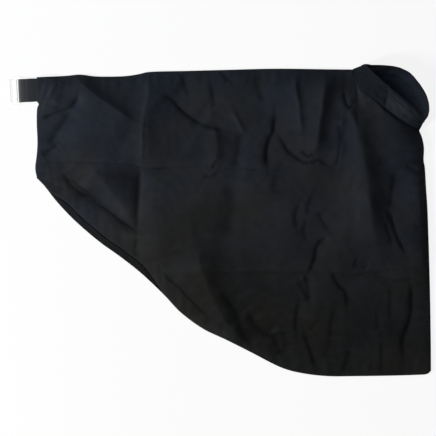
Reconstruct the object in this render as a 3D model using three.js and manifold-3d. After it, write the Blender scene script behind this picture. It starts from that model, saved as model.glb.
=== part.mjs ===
// Cloth collection bag of a garden leaf vacuum, lying flat on its side. Millimetres, +Z up.
// X runs along the bag from the strap end to the collar end, Y runs across it towards the top seam.
// Lengths in the plane are measured from the corner of the bag beside the strap.

import * as THREE from "three";
import { mergeVertices } from "three/addons/utils/BufferGeometryUtils.js";
import Module from "manifold-3d";

// Cloth and sewing
const CLOTH = 1.5; // one wall of sewn cloth
const SEAM_GAP = 0.3; // between two pieces that are sewn to each other

// Outline of the bag
const BODY_LENGTH = 648; // strap end to the far end, along the bottom
const BODY_DROP = 491; // strap corner down to the bottom seam
const TOP_LENGTH = 519; // top seam, from the strap corner to the neck
const TOP_RISE = 13; // how far the top seam climbs on its way to the neck
const STRAP_EDGE = 166; // short upright edge below the strap
const BOTTOM_LENGTH = 169; // straight bottom seam, up to the far corner
const CORNER_RADIUS = 9; // far bottom corner
const NECK_WIDTH = 148; // slanted opening that the collar is sewn to
const NECK_SLOPE = 42.5; // degrees that the neck slopes down from the top seam
const FAR_BOW = 3.4; // power by which the far edge bows out below the neck

// How the slack cloth lies
const LOFT = 19; // height of the upper panel over its seams
const ROLL = 27; // width over which it rises from a seam
const NECK_ARCH = 29; // how far the upper panel arches up at the neck
const NECK_LEAN = 30; // degrees that the arch leans back over the bag
const NECK_BLEND = 75; // how far into the bag the arch fades away
const FOLD_TAPER = 0.19; // share of its path that a fold takes to reach its full height
const FOLD_END = 0.25; // share of its height that is left at its ends

// Collar, a short sleeve with a turned hem, whose mouth stands open and faces upwards
const COLLAR_REACH = 18; // neck to the line between the ends of the mouth, along the ground
const COLLAR_SHIFT = 2; // towards the far end of the bag
const MOUTH_WIDTH = 133; // between the ends of the mouth
const MOUTH_END = 14; // height of the ends of the mouth
const LIP_RISE = 31; // upper lip over the ends of the mouth
const LIP_LEAN = 4; // degrees that the upper lip leans back
const FAR_LIP_REACH = 40; // lower lip beyond the line between the ends, lying on the ground
const PINCH = 2.6; // power that flattens the end of the mouth beside the top seam
const HEM_DEPTH = 14; // turned hem, measured along the sleeve
const HEM_THICKNESS = 3;
const HEM_STEP = 0.06; // share of the sleeve over which the hem reaches its thickness
const LIP_PARTING = 0.4; // share of the hem's thickness between the two lips at the ends of the mouth

// Band sewn along the emptying edge
const BAND_WIDTH = 12;
const BAND_START = 12; // along X, from the strap edge
const BAND_END = 215;
const BAND_FADE = 45; // length of each pointed end
const BAND_LEAST = 3; // where its points are cut off

// Webbing strap, folded round a bar of the buckle and sewn to itself
const WEBBING_WIDTH = 38;
const WEBBING = 1.6; // one layer
const STRAP_REACH = 30; // bag edge to the outside of the fold
const STRAP_TUCK = 12; // held between the panels
const STRAP_MIDDLE = 21; // below the strap corner
const STRAP_TILT = 2.6; // degrees, sloping down away from the bag
const EYE_CLEARANCE = 0.35; // round the bar in the fold
const STRAP_PART = 8.5; // from the bar to where its two layers meet
const LIFT_LEVEL = 7; // how far past the strap the upper panel stays lifted
const LIFT_FALL = 17; // how far on it takes to come down

// Three-bar buckle of round wire
const WIRE = 2.6;
const BUCKLE_CLEARANCE = 0.5; // each side of the webbing
const INNER_PITCH = 6.6; // bar in the fold to the middle bar
const OUTER_PITCH = 11; // middle bar to the free bar

// Facets
const BODY_COLUMNS = 37;
const NECK_COLUMNS = 12;
const ROWS = 30;
const COLLAR_STATIONS = 9;
const ROUND_SIDES = 12;

// Shares of the way from the strap edge to the bottom seam: how far along, and how far down
const SWEEP = [
  [0, 0], [0.13, 0.21], [0.244, 0.354], [0.357, 0.48], [0.434, 0.586], [0.495, 0.68],
  [0.57, 0.76], [0.697, 0.842], [0.779, 0.923], [0.889, 0.978], [1, 1],
];

// Shares of the top seam's length and rise
const TOP_SHAPE = [[0, 0], [0.11, 0.36], [0.27, 0.15], [0.36, 0.71], [0.6, 0.97], [1, 1]];

// Folds of the upper panel: rise above the cloth around (a valley is negative), half width, and path
const FOLDS = [
  {
    rise: 5,
    half: 9,
    path: [[186, 5], [177, -44], [174, -97], [175, -144], [169, -187], [161, -254], [164, -302]],
  },
  { rise: 3, half: 9, path: [[3, -137], [170, -143], [335, -149]] },
  { rise: 3.5, half: 9, path: [[283, -321], [400, -325], [512, -327], [642, -331]] },
  { rise: 5, half: 10, path: [[61, 3], [112, -36], [162, -77]] },
  { rise: -6, half: 11, path: [[80, -4], [122, -34], [160, -62]] },
  { rise: 5, half: 9, path: [[9, -62], [40, -47], [69, -33]] },
  { rise: -4, half: 9, path: [[14, -78], [44, -62], [72, -50]] },
  { rise: 5, half: 10, path: [[205, -22], [245, -50], [283, -73], [322, -86]] },
  { rise: -4, half: 10, path: [[209, -40], [243, -68], [280, -92], [322, -104]] },
  { rise: -5, half: 10, path: [[386, -87], [381, -130], [376, -160]] },
  { rise: -6, half: 10, path: [[424, -10], [432, -60], [444, -128]] },
  { rise: 7, half: 11, path: [[450, 0], [452, -60], [452, -118]] },
  { rise: -7, half: 10, path: [[476, -6], [466, -70], [454, -128]] },
  { rise: -4, half: 9, path: [[393, -97], [418, -122], [445, -137], [468, -130]] },
  { rise: 7, half: 12, path: [[500, -32], [487, -80], [471, -132], [468, -170]] },
  { rise: 6, half: 13, path: [[506, -70], [518, -124], [532, -190], [543, -262]] },
  {
    rise: -9,
    half: 16,
    path: [[510, -48], [537, -102], [550, -154], [562, -216], [582, -250], [604, -285]],
  },
  { rise: 5, half: 14, path: [[566, -90], [584, -150], [592, -214], [612, -262]] },
  { rise: -4, half: 9, path: [[466, -262], [458, -295], [449, -322]] },
  { rise: 4, half: 10, path: [[583, -344], [583, -400]] },
  { rise: -4, half: 9, path: [[611, -340], [614, -396], [613, -456]] },
  { rise: 4, half: 10, path: [[430, -366], [434, -420], [452, -468]] },
  { rise: -5, half: 12, path: [[284, -326], [318, -374], [343, -414], [366, -440]] },
  { rise: 4, half: 11, path: [[208, -318], [246, -354], [283, -388]] },
  { rise: 5, half: 11, path: [[342, -352], [366, -388], [396, -424]] },
  { rise: -5, half: 11, path: [[50, -159], [82, -196], [120, -222], [160, -244]] },
];

const rad = THREE.MathUtils.degToRad;
const smoothstep = THREE.MathUtils.smoothstep;
const wasm = await Module();
wasm.setup();

const rimHeight = CLOTH + SEAM_GAP + CLOTH / 2; // middle of the upper panel's wall at a seam
const sweepLength = BODY_LENGTH - BOTTOM_LENGTH;

/** The height y at x of a smooth curve through points whose x only grows. */
function heightAlong(points) {
  const curve = new THREE.SplineCurve(points.map(([x, y]) => new THREE.Vector2(x, y)));
  const samples = curve.getPoints(40 * points.length);
  return (x) => {
    let i = 1;
    while (i < samples.length - 1 && samples[i].x < x) i += 1;
    const [a, b] = [samples[i - 1], samples[i]];
    return a.y + ((b.y - a.y) * (x - a.x)) / (b.x - a.x);
  };
}

const sweepEdge = heightAlong(
  SWEEP.map(([along, down]) => [along * sweepLength, -STRAP_EDGE - down * (BODY_DROP - STRAP_EDGE)]),
);
const topEdge = heightAlong(TOP_SHAPE.map(([along, up]) => [along * TOP_LENGTH, up * TOP_RISE]));

/** The lower outline: the sweep, the straight bottom seam and the round far corner. */
function bottomEdge(x) {
  if (x < sweepLength) return sweepEdge(x);
  const into = Math.max(0, x - (BODY_LENGTH - CORNER_RADIUS));
  return -BODY_DROP + CORNER_RADIUS - Math.sqrt(Math.max(0, CORNER_RADIUS ** 2 - into ** 2));
}

// The neck's own directions: along the seam, outwards along the ground, and up the leaning arch
const neckAlong = new THREE.Vector3(Math.cos(rad(NECK_SLOPE)), -Math.sin(rad(NECK_SLOPE)), 0);
const neckOut = new THREE.Vector3(Math.sin(rad(NECK_SLOPE)), Math.cos(rad(NECK_SLOPE)), 0);
const neckMiddle = new THREE.Vector3(TOP_LENGTH, TOP_RISE, rimHeight).addScaledVector(
  neckAlong,
  NECK_WIDTH / 2,
);

/** The direction that leans back over the bag by an angle from upright. */
function leaning(degrees) {
  return new THREE.Vector3(0, 0, Math.cos(rad(degrees))).addScaledVector(neckOut, -Math.sin(rad(degrees)));
}

/** A point of the upper panel's neck edge, a parabola that leans back. The share runs from 0 to 1. */
function neckPoint(share) {
  const across = (share - 0.5) * NECK_WIDTH;
  const up = NECK_ARCH * (1 - (2 * share - 1) ** 2);
  return neckMiddle.clone().addScaledVector(neckAlong, across).addScaledVector(leaning(NECK_LEAN), up);
}

/** How much longer a measure along Y is than one square to the lower outline at x. */
function slant(x) {
  const step = 1;
  return Math.hypot(1, (bottomEdge(x + step) - bottomEdge(x - step)) / (2 * step));
}

/** How much of the emptying edge the band takes, measured along Y at x. */
function bandInset(x) {
  const present = smoothstep(x, BAND_START, BAND_START + BAND_FADE)
    * (1 - smoothstep(x, BAND_END - BAND_FADE, BAND_END));
  return BAND_WIDTH * slant(x) * present;
}

/** The distance from a point to a fold's path, and how much of the fold is left there towards its ends. */
function nearFold(path, x, y) {
  let nearest = Infinity;
  let along = 0;
  let length = 0;
  for (let i = 1; i < path.length; i += 1) {
    const [ax, ay] = path[i - 1];
    const [bx, by] = path[i];
    const span = Math.hypot(bx - ax, by - ay);
    const t = THREE.MathUtils.clamp(((x - ax) * (bx - ax) + (y - ay) * (by - ay)) / span ** 2, 0, 1);
    const away = Math.hypot(x - ax - t * (bx - ax), y - ay - t * (by - ay));
    if (away < nearest) {
      nearest = away;
      along = length + t * span;
    }
    length += span;
  }
  const fromEnd = Math.min(along, length - along) / length;
  const left = THREE.MathUtils.lerp(FOLD_END, 1, Math.min(1, fromEnd / FOLD_TAPER));
  return { away: nearest, left };
}

// The strap lies on the lower panel, and its fold round the wire never reaches below the ground
const eyeInner = WIRE / 2 + EYE_CLEARANCE;
const strapBase = Math.max(CLOTH + SEAM_GAP, eyeInner);
const strapTop = strapBase + 2 * WEBBING;

/** How far the upper panel's edge is lifted where it passes over the tucked end of the strap. */
function strapLift(x, y) {
  const lift = strapTop + SEAM_GAP + CLOTH / 2 - rimHeight;
  const below = STRAP_MIDDLE + WEBBING_WIDTH / 2 + LIFT_LEVEL;
  const beyond = STRAP_TUCK + LIFT_LEVEL;
  const overBeyond = 1 - smoothstep(x, beyond, beyond + LIFT_FALL);
  const overBelow = 1 - smoothstep(-y, below, below + LIFT_FALL);
  return lift * overBeyond * overBelow;
}

/** How far a point of the plane lies from each sewn edge of the upper panel. */
function seamDistances(x, y) {
  const farTop = neckPoint(1);
  const farShare = THREE.MathUtils.clamp((y + BODY_DROP) / (farTop.y + BODY_DROP), 0, 1);
  const farEdge = BODY_LENGTH + (farTop.x - BODY_LENGTH) * farShare ** FAR_BOW;
  return [
    x,
    Math.hypot(farEdge - x, Math.max(0, y - farTop.y)),
    Math.hypot(topEdge(Math.min(x, TOP_LENGTH)) - y, Math.max(0, x - TOP_LENGTH)),
    Math.max(0, y - bottomEdge(x) - bandInset(x)) / slant(x),
  ];
}

/** The middle of the upper panel's wall over a point of the plane, with its folds. */
function panelHeight(x, y) {
  const rise = seamDistances(x, y).reduce((product, away) => product * (1 - Math.exp(-away / ROLL)), 1);
  let folds = 0;
  for (const { rise: height, half, path } of FOLDS) {
    const { away, left } = nearFold(path, x, y);
    folds += height * left * Math.exp(-((away / half) ** 2));
  }
  return rimHeight + strapLift(x, y) + Math.max(0, LOFT + folds) * rise;
}

/** One closed geometry from corner points and triangles of their numbers. */
function closed(points, triangles) {
  const geometry = new THREE.BufferGeometry();
  const flat = points.flatMap((p) => [p.x, p.y, p.z]);
  geometry.setAttribute("position", new THREE.Float32BufferAttribute(flat, 3));
  geometry.setIndex(triangles.flat());
  return geometry;
}

/** The two triangles of a four-cornered face, given anticlockwise from outside. */
const quad = (a, b, c, d) => [[a, b, c], [a, c, d]];

/** A wall of cloth on a grid of middle points, each with the direction that its thickness takes. */
function clothSheet(middles, across, thickness) {
  const columns = middles.length;
  const rows = middles[0].length;
  const upper = (i, j) => i * rows + j;
  const lower = (i, j) => columns * rows + i * rows + j;
  const points = [1, -1].flatMap((side) =>
    middles.flatMap((column, i) =>
      column.map((p, j) => p.clone().addScaledVector(across[i][j], (side * thickness) / 2)),
    ),
  );
  const triangles = [];
  for (let i = 1; i < columns; i += 1) {
    for (let j = 1; j < rows; j += 1) {
      triangles.push(...quad(upper(i - 1, j - 1), upper(i, j - 1), upper(i, j), upper(i - 1, j)));
      triangles.push(...quad(lower(i - 1, j - 1), lower(i - 1, j), lower(i, j), lower(i, j - 1)));
    }
  }
  const border = [];
  for (let i = 0; i < columns - 1; i += 1) border.push([i, 0]);
  for (let j = 0; j < rows - 1; j += 1) border.push([columns - 1, j]);
  for (let i = columns - 1; i > 0; i -= 1) border.push([i, rows - 1]);
  for (let j = rows - 1; j > 0; j -= 1) border.push([0, j]);
  border.forEach(([i, j], k) => {
    const [ni, nj] = border[(k + 1) % border.length];
    triangles.push(...quad(lower(i, j), lower(ni, nj), upper(ni, nj), upper(i, j)));
  });
  return closed(points, triangles);
}

/** A named mesh with its own material. */
function piece(name, geometry, color, roughness, metalness = 0) {
  const mesh = new THREE.Mesh(geometry, new THREE.MeshStandardMaterial({ color, roughness, metalness }));
  mesh.name = name;
  return mesh;
}

// Upper panel: a grid of columns between the lower outline and the top seam, then the neck
const bodyColumns = Array.from({ length: BODY_COLUMNS + 1 }, (_, i) => {
  const x = (TOP_LENGTH * i) / BODY_COLUMNS;
  return { foot: x, top: new THREE.Vector3(x, topEdge(x), 0) };
});
const neckColumns = Array.from({ length: NECK_COLUMNS }, (_, i) => {
  const share = (i + 1) / NECK_COLUMNS;
  return {
    foot: TOP_LENGTH + share * (BODY_LENGTH - TOP_LENGTH),
    top: neckPoint(share),
    neck: share,
  };
});
const columns = [...bodyColumns, ...neckColumns];

/** The middle points of the upper panel, column by column from the lower outline upwards. */
const panelMiddles = columns.map(({ foot, top, neck }) => {
  const low = bottomEdge(foot) + bandInset(foot);
  const missing = neck === undefined ? 0 : top.z - panelHeight(top.x, top.y);
  return Array.from({ length: ROWS + 1 }, (_, j) => {
    const share = j / ROWS;
    const x = foot + (top.x - foot) * share ** FAR_BOW;
    const y = low + (top.y - low) * share;
    const fade = Math.exp(-(((top.y - y) / NECK_BLEND) ** 2));
    return new THREE.Vector3(x, y, panelHeight(x, y) + missing * fade);
  });
});

const upright = new THREE.Vector3(0, 0, 1);
const neckPlane = new THREE.Vector3().crossVectors(leaning(NECK_LEAN), neckAlong);

/** The direction of the wall's thickness: upright along the seams, square to the cloth inside. */
const panelAcross = panelMiddles.map((column, i) =>
  column.map((p, j) => {
    const last = panelMiddles.length - 1;
    if (j === ROWS && (i === BODY_COLUMNS || i === last)) return leaning(NECK_LEAN);
    if (i === 0 || j === 0 || i === last) return upright;
    const east = new THREE.Vector3().subVectors(panelMiddles[i + 1][j], panelMiddles[i - 1][j]);
    if (j === ROWS) {
      if (columns[i].neck === undefined) return upright;
      return new THREE.Vector3().crossVectors(neckPlane, east).normalize();
    }
    const north = new THREE.Vector3().subVectors(column[j + 1], column[j - 1]);
    return east.cross(north).normalize();
  }),
);
const upperPanel = piece("upper_panel", clothSheet(panelMiddles, panelAcross, CLOTH), 0x22252a, 0.82);

// Lower panel: flat on the ground, cut to the same outline with a straight neck
const farRows = Array.from({ length: ROWS + 1 }, (_, j) => panelMiddles[columns.length - 1][ROWS - j]);
const lowerOutline = [
  ...bodyColumns.map(({ top }) => new THREE.Vector2(top.x, top.y)),
  ...farRows.map((p) => new THREE.Vector2(p.x, p.y)),
  ...[...columns].reverse().slice(1).map(({ foot }) => new THREE.Vector2(foot, bottomEdge(foot))),
];
const lowerPanel = piece(
  "lower_panel",
  new THREE.ExtrudeGeometry(new THREE.Shape(lowerOutline), { depth: CLOTH, bevelEnabled: false }),
  0x1d2024,
  0.85,
);

// Edge band: a strip lying on the lower panel, along the edge of the upper one
const bandColumns = columns
  .map(({ foot }) => foot)
  .filter((x) => bandInset(x) > BAND_LEAST);
const bandOutline = [
  ...bandColumns.map((x) => new THREE.Vector2(x, bottomEdge(x))),
  ...[...bandColumns].reverse().map((x) => new THREE.Vector2(x, bottomEdge(x) + bandInset(x) - 2 * SEAM_GAP)),
];
const edgeBand = piece(
  "edge_band",
  new THREE.ExtrudeGeometry(new THREE.Shape(bandOutline), { depth: CLOTH, bevelEnabled: false }),
  0x2a2d31,
  0.8,
);
edgeBand.position.z = CLOTH + SEAM_GAP;

/** The middles of the collar's wall round one ring, at a share of its length from neck to lip. */
function collarRing(share, wall) {
  const half = THREE.MathUtils.lerp(NECK_WIDTH, MOUTH_WIDTH, share) / 2;
  const arch = leaning(NECK_LEAN)
    .multiplyScalar(NECK_ARCH)
    .lerp(leaning(LIP_LEAN).multiplyScalar(LIP_RISE), share);
  const spread = neckOut.clone().multiplyScalar(FAR_LIP_REACH * share).setZ(-MOUTH_END * share);
  const seamDrop = (rimHeight - CLOTH / 2) * (1 - share);
  const centre = neckMiddle
    .clone()
    .addScaledVector(neckAlong, COLLAR_SHIFT * share)
    .addScaledVector(neckOut, SEAM_GAP + COLLAR_REACH * share);
  centre.z = wall / 2 + seamDrop + MOUTH_END * share;
  const ring = [];
  for (let k = 0; k <= NECK_COLUMNS; k += 1) {
    const angle = (Math.PI * k) / NECK_COLUMNS;
    const even = 1 - (2 * k) / NECK_COLUMNS;
    const across = half * THREE.MathUtils.lerp(even, Math.cos(angle), share);
    const rise = THREE.MathUtils.lerp(1 - even ** 2, Math.sin(angle), share);
    ring.push(centre.clone().addScaledVector(neckAlong, across).addScaledVector(arch, rise));
  }
  for (let k = 0; k <= NECK_COLUMNS; k += 1) {
    const angle = Math.PI * (1 - k / NECK_COLUMNS);
    const even = (2 * k) / NECK_COLUMNS - 1;
    const across = half * THREE.MathUtils.lerp(even, Math.cos(angle), share);
    const power = THREE.MathUtils.lerp(PINCH, 1, smoothstep(across, -half / 2, half / 2));
    const fall = Math.sin(angle) ** power;
    const parted = seamDrop + wall * share * LIP_PARTING;
    const below = centre.clone().addScaledVector(neckAlong, across).addScaledVector(spread, fall);
    below.z -= parted * (share < 1 ? 1 : Math.min(1, 4 * (1 - fall)));
    below.z = Math.max(below.z, wall / 2);
    ring.push(below);
  }
  return ring;
}

// Collar: an outer and an inner skin of rings, closed at the seam and at the lip
const collarLength = Math.hypot(COLLAR_REACH, LIP_RISE + MOUTH_END);
const hemStart = 1 - HEM_DEPTH / collarLength;
const stations = Array.from({ length: COLLAR_STATIONS }, (_, i) => ({
  share: (hemStart * i) / (COLLAR_STATIONS - 1),
  wall: CLOTH,
}));
stations.push({ share: hemStart + HEM_STEP, wall: HEM_THICKNESS }, { share: 1, wall: HEM_THICKNESS });

/** The direction of the collar's thickness, which at the seam stays in the plane of the neck or upright. */
function collarAcross(rings, s, k) {
  const ring = rings[s];
  const around = ring.length;
  if (s === 0 && k > NECK_COLUMNS) {
    const side = Number(k === around - 1) - Number(k === NECK_COLUMNS + 1);
    return new THREE.Vector3(0, 0, -1).addScaledVector(neckAlong, side).normalize();
  }
  const before = ring[(k + around - 1) % around];
  const after = ring[(k + 1) % around];
  const along = new THREE.Vector3().subVectors(after, before);
  if (s === 0) return neckPlane.clone().cross(along).normalize();
  const next = rings[Math.min(s + 1, rings.length - 1)][k];
  return new THREE.Vector3().subVectors(next, rings[s - 1][k]).cross(along).normalize();
}

function collarGeometry() {
  const rings = stations.map(({ share, wall }) => collarRing(share, wall));
  const skins = [1, -1].map((side) =>
    rings.map((ring, s) =>
      ring.map((p, k) => p.clone().addScaledVector(collarAcross(rings, s, k), (side * stations[s].wall) / 2)),
    ),
  );
  const around = rings[0].length;
  const last = stations.length - 1;
  const outer = (s, k) => s * around + (k % around);
  const inner = (s, k) => stations.length * around + outer(s, k);
  const triangles = [];
  for (let k = 0; k < around; k += 1) {
    for (let s = 0; s < last; s += 1) {
      triangles.push(...quad(outer(s, k), outer(s + 1, k), outer(s + 1, k + 1), outer(s, k + 1)));
      triangles.push(...quad(inner(s, k), inner(s, k + 1), inner(s + 1, k + 1), inner(s + 1, k)));
    }
    triangles.push(...quad(outer(0, k), outer(0, k + 1), inner(0, k + 1), inner(0, k)));
    triangles.push(...quad(outer(last, k), inner(last, k), inner(last, k + 1), outer(last, k + 1)));
  }
  return closed(skins.flat(2), triangles);
}
const collar = piece("collar", collarGeometry(), 0x25282d, 0.8);

// Strap: the fold's section, carried across the width of the webbing
const eyeOuter = eyeInner + WEBBING;
const eyeX = eyeOuter - STRAP_REACH;
const eyeHeight = strapBase + WEBBING;
const sewnFrom = eyeX + STRAP_PART;
const leaveAngle = Math.atan2(WEBBING, STRAP_PART) + Math.acos(eyeOuter / Math.hypot(STRAP_PART, WEBBING));

function strapGeometry() {
  const section = new THREE.Shape();
  section.moveTo(STRAP_TUCK, strapTop);
  section.lineTo(sewnFrom, strapTop);
  section.absarc(eyeX, eyeHeight, eyeOuter, leaveAngle, 2 * Math.PI - leaveAngle, false);
  section.lineTo(sewnFrom, strapBase);
  section.lineTo(STRAP_TUCK, strapBase);
  const eye = new THREE.Path();
  eye.absarc(eyeX, eyeHeight, eyeInner, 0, 2 * Math.PI, true);
  section.holes.push(eye);
  const options = { depth: WEBBING_WIDTH, bevelEnabled: false, curveSegments: ROUND_SIDES };
  return new THREE.ExtrudeGeometry(section, options).rotateX(Math.PI / 2).translate(0, WEBBING_WIDTH / 2, 0);
}
const strap = new THREE.Group();
strap.position.set(0, -STRAP_MIDDLE, 0);
strap.rotation.z = rad(STRAP_TILT);
strap.add(piece("strap_tab", strapGeometry(), 0x33363c, 0.75));

/** A geometry as a solid that can be joined. */
function solid(geometry) {
  const bare = geometry.clone();
  bare.deleteAttribute("normal");
  bare.deleteAttribute("uv");
  const merged = mergeVertices(bare);
  const vertProperties = merged.getAttribute("position").array;
  const triVerts = new Uint32Array(merged.getIndex().array);
  return new wasm.Manifold(new wasm.Mesh({ numProp: 3, vertProperties, triVerts }));
}

// Buckle: a rounded frame with a middle bar, seen from the bar that the strap holds
const buckleSpan = INNER_PITCH + OUTER_PITCH;
const railSide = WEBBING_WIDTH / 2 + BUCKLE_CLEARANCE + WIRE / 2;

function buckleGeometry() {
  const rod = (length) => new THREE.CylinderGeometry(WIRE / 2, WIRE / 2, length, ROUND_SIDES);
  const parts = [0, -INNER_PITCH, -buckleSpan].map((x) => rod(2 * railSide).translate(x, 0, 0));
  for (const side of [-railSide, railSide]) {
    parts.push(rod(buckleSpan).rotateZ(Math.PI / 2).translate(-buckleSpan / 2, side, 0));
    for (const x of [0, -buckleSpan]) {
      parts.push(new THREE.SphereGeometry(WIRE / 2, ROUND_SIDES, ROUND_SIDES).translate(x, side, 0));
    }
  }
  const joined = parts.map(solid).reduce((whole, next) => whole.add(next));
  const { vertProperties, triVerts } = joined.getMesh();
  const geometry = new THREE.BufferGeometry();
  geometry.setAttribute("position", new THREE.BufferAttribute(vertProperties, 3));
  geometry.setIndex(new THREE.BufferAttribute(triVerts, 1));
  return geometry;
}
const buckle = piece("buckle", buckleGeometry(), 0xd8d8d4, 0.25, 1);
buckle.position.set(eyeX, 0, eyeHeight);
buckle.rotation.y = -Math.asin((eyeHeight - WIRE / 2) / buckleSpan); // the free bar rests on the ground
strap.add(buckle);

// The whole bag, with its origin on the ground below the middle of its outline
const bag = new THREE.Group();
bag.add(lowerPanel, upperPanel, edgeBand, collar, strap);
const outline = new THREE.Box3().setFromObject(bag, true);
const middle = outline.getCenter(new THREE.Vector3());
bag.position.set(-middle.x, -middle.y, -outline.min.z);

export default bag;
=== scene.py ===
"""Blender scene of a leaf vacuum's cloth collection bag, lying flat with its collar open. Metres, +Z up.

X runs along the bag from the strap to the collar and Y across it towards the top seam. Plan places are
measured from the strap corner, the corner of the bag beside the strap. Every surface is a grid of points
worked out as whole arrays, and each function says its formula in words.
"""

import math

import bpy
import numpy as np
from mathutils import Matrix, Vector


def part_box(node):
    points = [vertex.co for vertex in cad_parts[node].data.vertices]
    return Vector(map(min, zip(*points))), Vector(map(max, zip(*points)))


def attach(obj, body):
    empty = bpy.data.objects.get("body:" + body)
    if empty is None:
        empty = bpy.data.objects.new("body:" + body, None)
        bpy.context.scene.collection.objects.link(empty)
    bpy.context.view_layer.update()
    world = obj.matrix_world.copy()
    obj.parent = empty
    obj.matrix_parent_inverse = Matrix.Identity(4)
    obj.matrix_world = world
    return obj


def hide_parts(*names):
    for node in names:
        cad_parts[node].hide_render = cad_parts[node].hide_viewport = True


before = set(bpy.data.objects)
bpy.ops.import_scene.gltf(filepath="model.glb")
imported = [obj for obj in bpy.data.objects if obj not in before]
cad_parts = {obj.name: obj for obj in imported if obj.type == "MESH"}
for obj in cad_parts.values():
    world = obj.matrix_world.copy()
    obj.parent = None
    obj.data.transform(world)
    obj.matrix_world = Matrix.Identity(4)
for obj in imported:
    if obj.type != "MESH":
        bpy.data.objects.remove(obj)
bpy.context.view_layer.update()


# Camera: straight above the bag and far off, with 436 pixels of 1.64 mm across its view.
# Places are counted from the strap corner, which the lower panel's box gives.
METRES_PER_PIXEL = 0.00164
PHOTO_SIDE = 436
STRAP_CORNER_PIXEL = (36.5, 77.0)
TOP_RISE = 0.013  # from the strap corner up to the top of the lower panel's box
LENS = 300.0
SENSOR = 36.0
AIM_HEIGHT = 0.012
CLIP_END = 30.0
panel_low, panel_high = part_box("lower_panel")
CORNER = np.array([panel_low[0], panel_high[1] - TOP_RISE, 0.0])


def plan(pixels):
    """Places in the plan, in metres from the strap corner, of pixels of the view."""
    across, down = np.asarray(pixels, float).T
    x = (across - STRAP_CORNER_PIXEL[0]) * METRES_PER_PIXEL
    y = (STRAP_CORNER_PIXEL[1] - down) * METRES_PER_PIXEL
    return np.stack([x, y], axis=-1)


view_middle = plan([(PHOTO_SIDE / 2, PHOTO_SIDE / 2)])[0]
view_height = METRES_PER_PIXEL * PHOTO_SIDE * LENS / SENSOR
camera = bpy.data.objects.new("camera", bpy.data.cameras.new("camera"))
camera.data.lens = LENS
camera.data.sensor_width = SENSOR
camera.data.clip_end = CLIP_END
camera.location = (CORNER[0] + view_middle[0], CORNER[1] + view_middle[1], AIM_HEIGHT + view_height)
bpy.context.collection.objects.link(camera)
bpy.context.scene.camera = camera


# Lower panel: the underside of the bag, one cut of dark woven polyester lying flat on the ground.
# It is sewn to the upper panel all round, except at the neck.
CLOTH = 0.0012
BODY_LENGTH = 0.648
TOP_LENGTH = 0.519
MEAN_WIDTH = 0.4
LOWER_COLUMNS = 161
LOWER_ROWS = 121
EDGE_STEPS = (0.0005, 0.0012, 0.0022)
EVEN_FROM = 1.7  # times the last of the close steps
RIPPLE = 0.0004
RIPPLE_SIZE = 0.05
NECK_SAG = 0.9  # share of the lean that the neck's edge takes as a parabola
NECK_PUFF = 0.55  # share of the lean that it takes once more where it puffs out
PUFF_MIDDLE = 0.19
PUFF_HALF = 0.15
PUFF_FADE = 0.08
LEFT_EDGE = plan([
    (36.5, 77.0), (36.5, 88), (36.6, 100.5), (38.5, 103.8), (37, 107.5), (36.4, 114), (36.4, 125),
    (37.1, 142), (36.3, 155), (34.9, 168), (36.6, 178.2),
])
TOP_EDGE = plan([
    (36.5, 77.0), (65, 75.6), (80, 74.3), (97, 76.2), (122.5, 76), (138, 74), (151, 71.5), (188, 70.6),
    (229, 69.5), (276, 68.4), (330, 69), (353, 69.2),
])
SWEEP_EDGE = plan([
    (36.6, 178.2), (44.3, 186), (56, 201), (74.4, 220.5), (98.9, 241.6), (119, 256), (141, 273.3),
    (163.3, 294.4), (180.8, 312.8), (203, 329), (226, 340), (250, 352), (281, 367.7), (304, 373.8),
    (328.6, 376.5), (355, 376.5), (390, 376), (415, 375.3), (427, 374.4), (431.4, 371),
])
FAR_EDGE = plan([
    (419.4, 130), (422.6, 138), (424.4, 148), (424, 160.3), (425.3, 168), (426.5, 188), (428.2, 216),
    (430.3, 286), (431.2, 340), (431.4, 371),
])


def smooth_line(places, steps=12):
    """A smooth curve through places: between two of them it is the cubic whose slope at each is half the step
    between its neighbours."""
    padded = np.concatenate([[2 * places[0] - places[1]], places, [2 * places[-1] - places[-2]]])
    share = np.linspace(0, 1, steps, endpoint=False)[:, None]
    runs = []
    for before, start, end, after in zip(padded[:-3], padded[1:-2], padded[2:-1], padded[3:]):
        slope = end - before
        bend = 2 * before - 5 * start + 4 * end - after
        twist = 3 * start - before - 3 * end + after
        runs.append(start + (slope * share + bend * share**2 + twist * share**3) / 2)
    return np.concatenate([*runs, places[-1:]])


left_line, top_line, sweep_line, far_line = (
    smooth_line(edge) for edge in (LEFT_EDGE, TOP_EDGE, SWEEP_EDGE, FAR_EDGE)
)


def left_of(y):
    """The x of the strap edge at each y."""
    return np.interp(-y, -left_line[:, 1], left_line[:, 0])


def right_of(y):
    """The x of the far edge at each y."""
    return np.interp(-y, -far_line[:, 1], far_line[:, 0])


def top_of(x):
    """The y of the top seam at each x."""
    return np.interp(x, top_line[:, 0], top_line[:, 1])


def low_of(x):
    """The y of the sweeping lower edge at each x."""
    return np.interp(x, sweep_line[:, 0], sweep_line[:, 1])


neck_start = np.array([TOP_LENGTH, top_of(TOP_LENGTH)])
neck_end = far_line[0]
NECK_WIDTH = np.linalg.norm(neck_end - neck_start)
neck_along = (neck_end - neck_start) / NECK_WIDTH
neck_out = np.array([-neck_along[1], neck_along[0]])


def spread(count, length):
    """Shares of a length, evenly spaced, with closer ones at both ends where the cloth meets its seam."""
    near = np.array(EDGE_STEPS) / length
    even = np.linspace(near[-1] * EVEN_FROM, 1 - near[-1] * EVEN_FROM, count - 2 * len(near) - 2)
    return np.concatenate([[0], near, even, 1 - near[::-1], [1]])


def bell(value, middle, half):
    """A bell curve: exp(-((value - middle) / half) ** 2)."""
    return np.exp(-(((value - middle) / half) ** 2))


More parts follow.
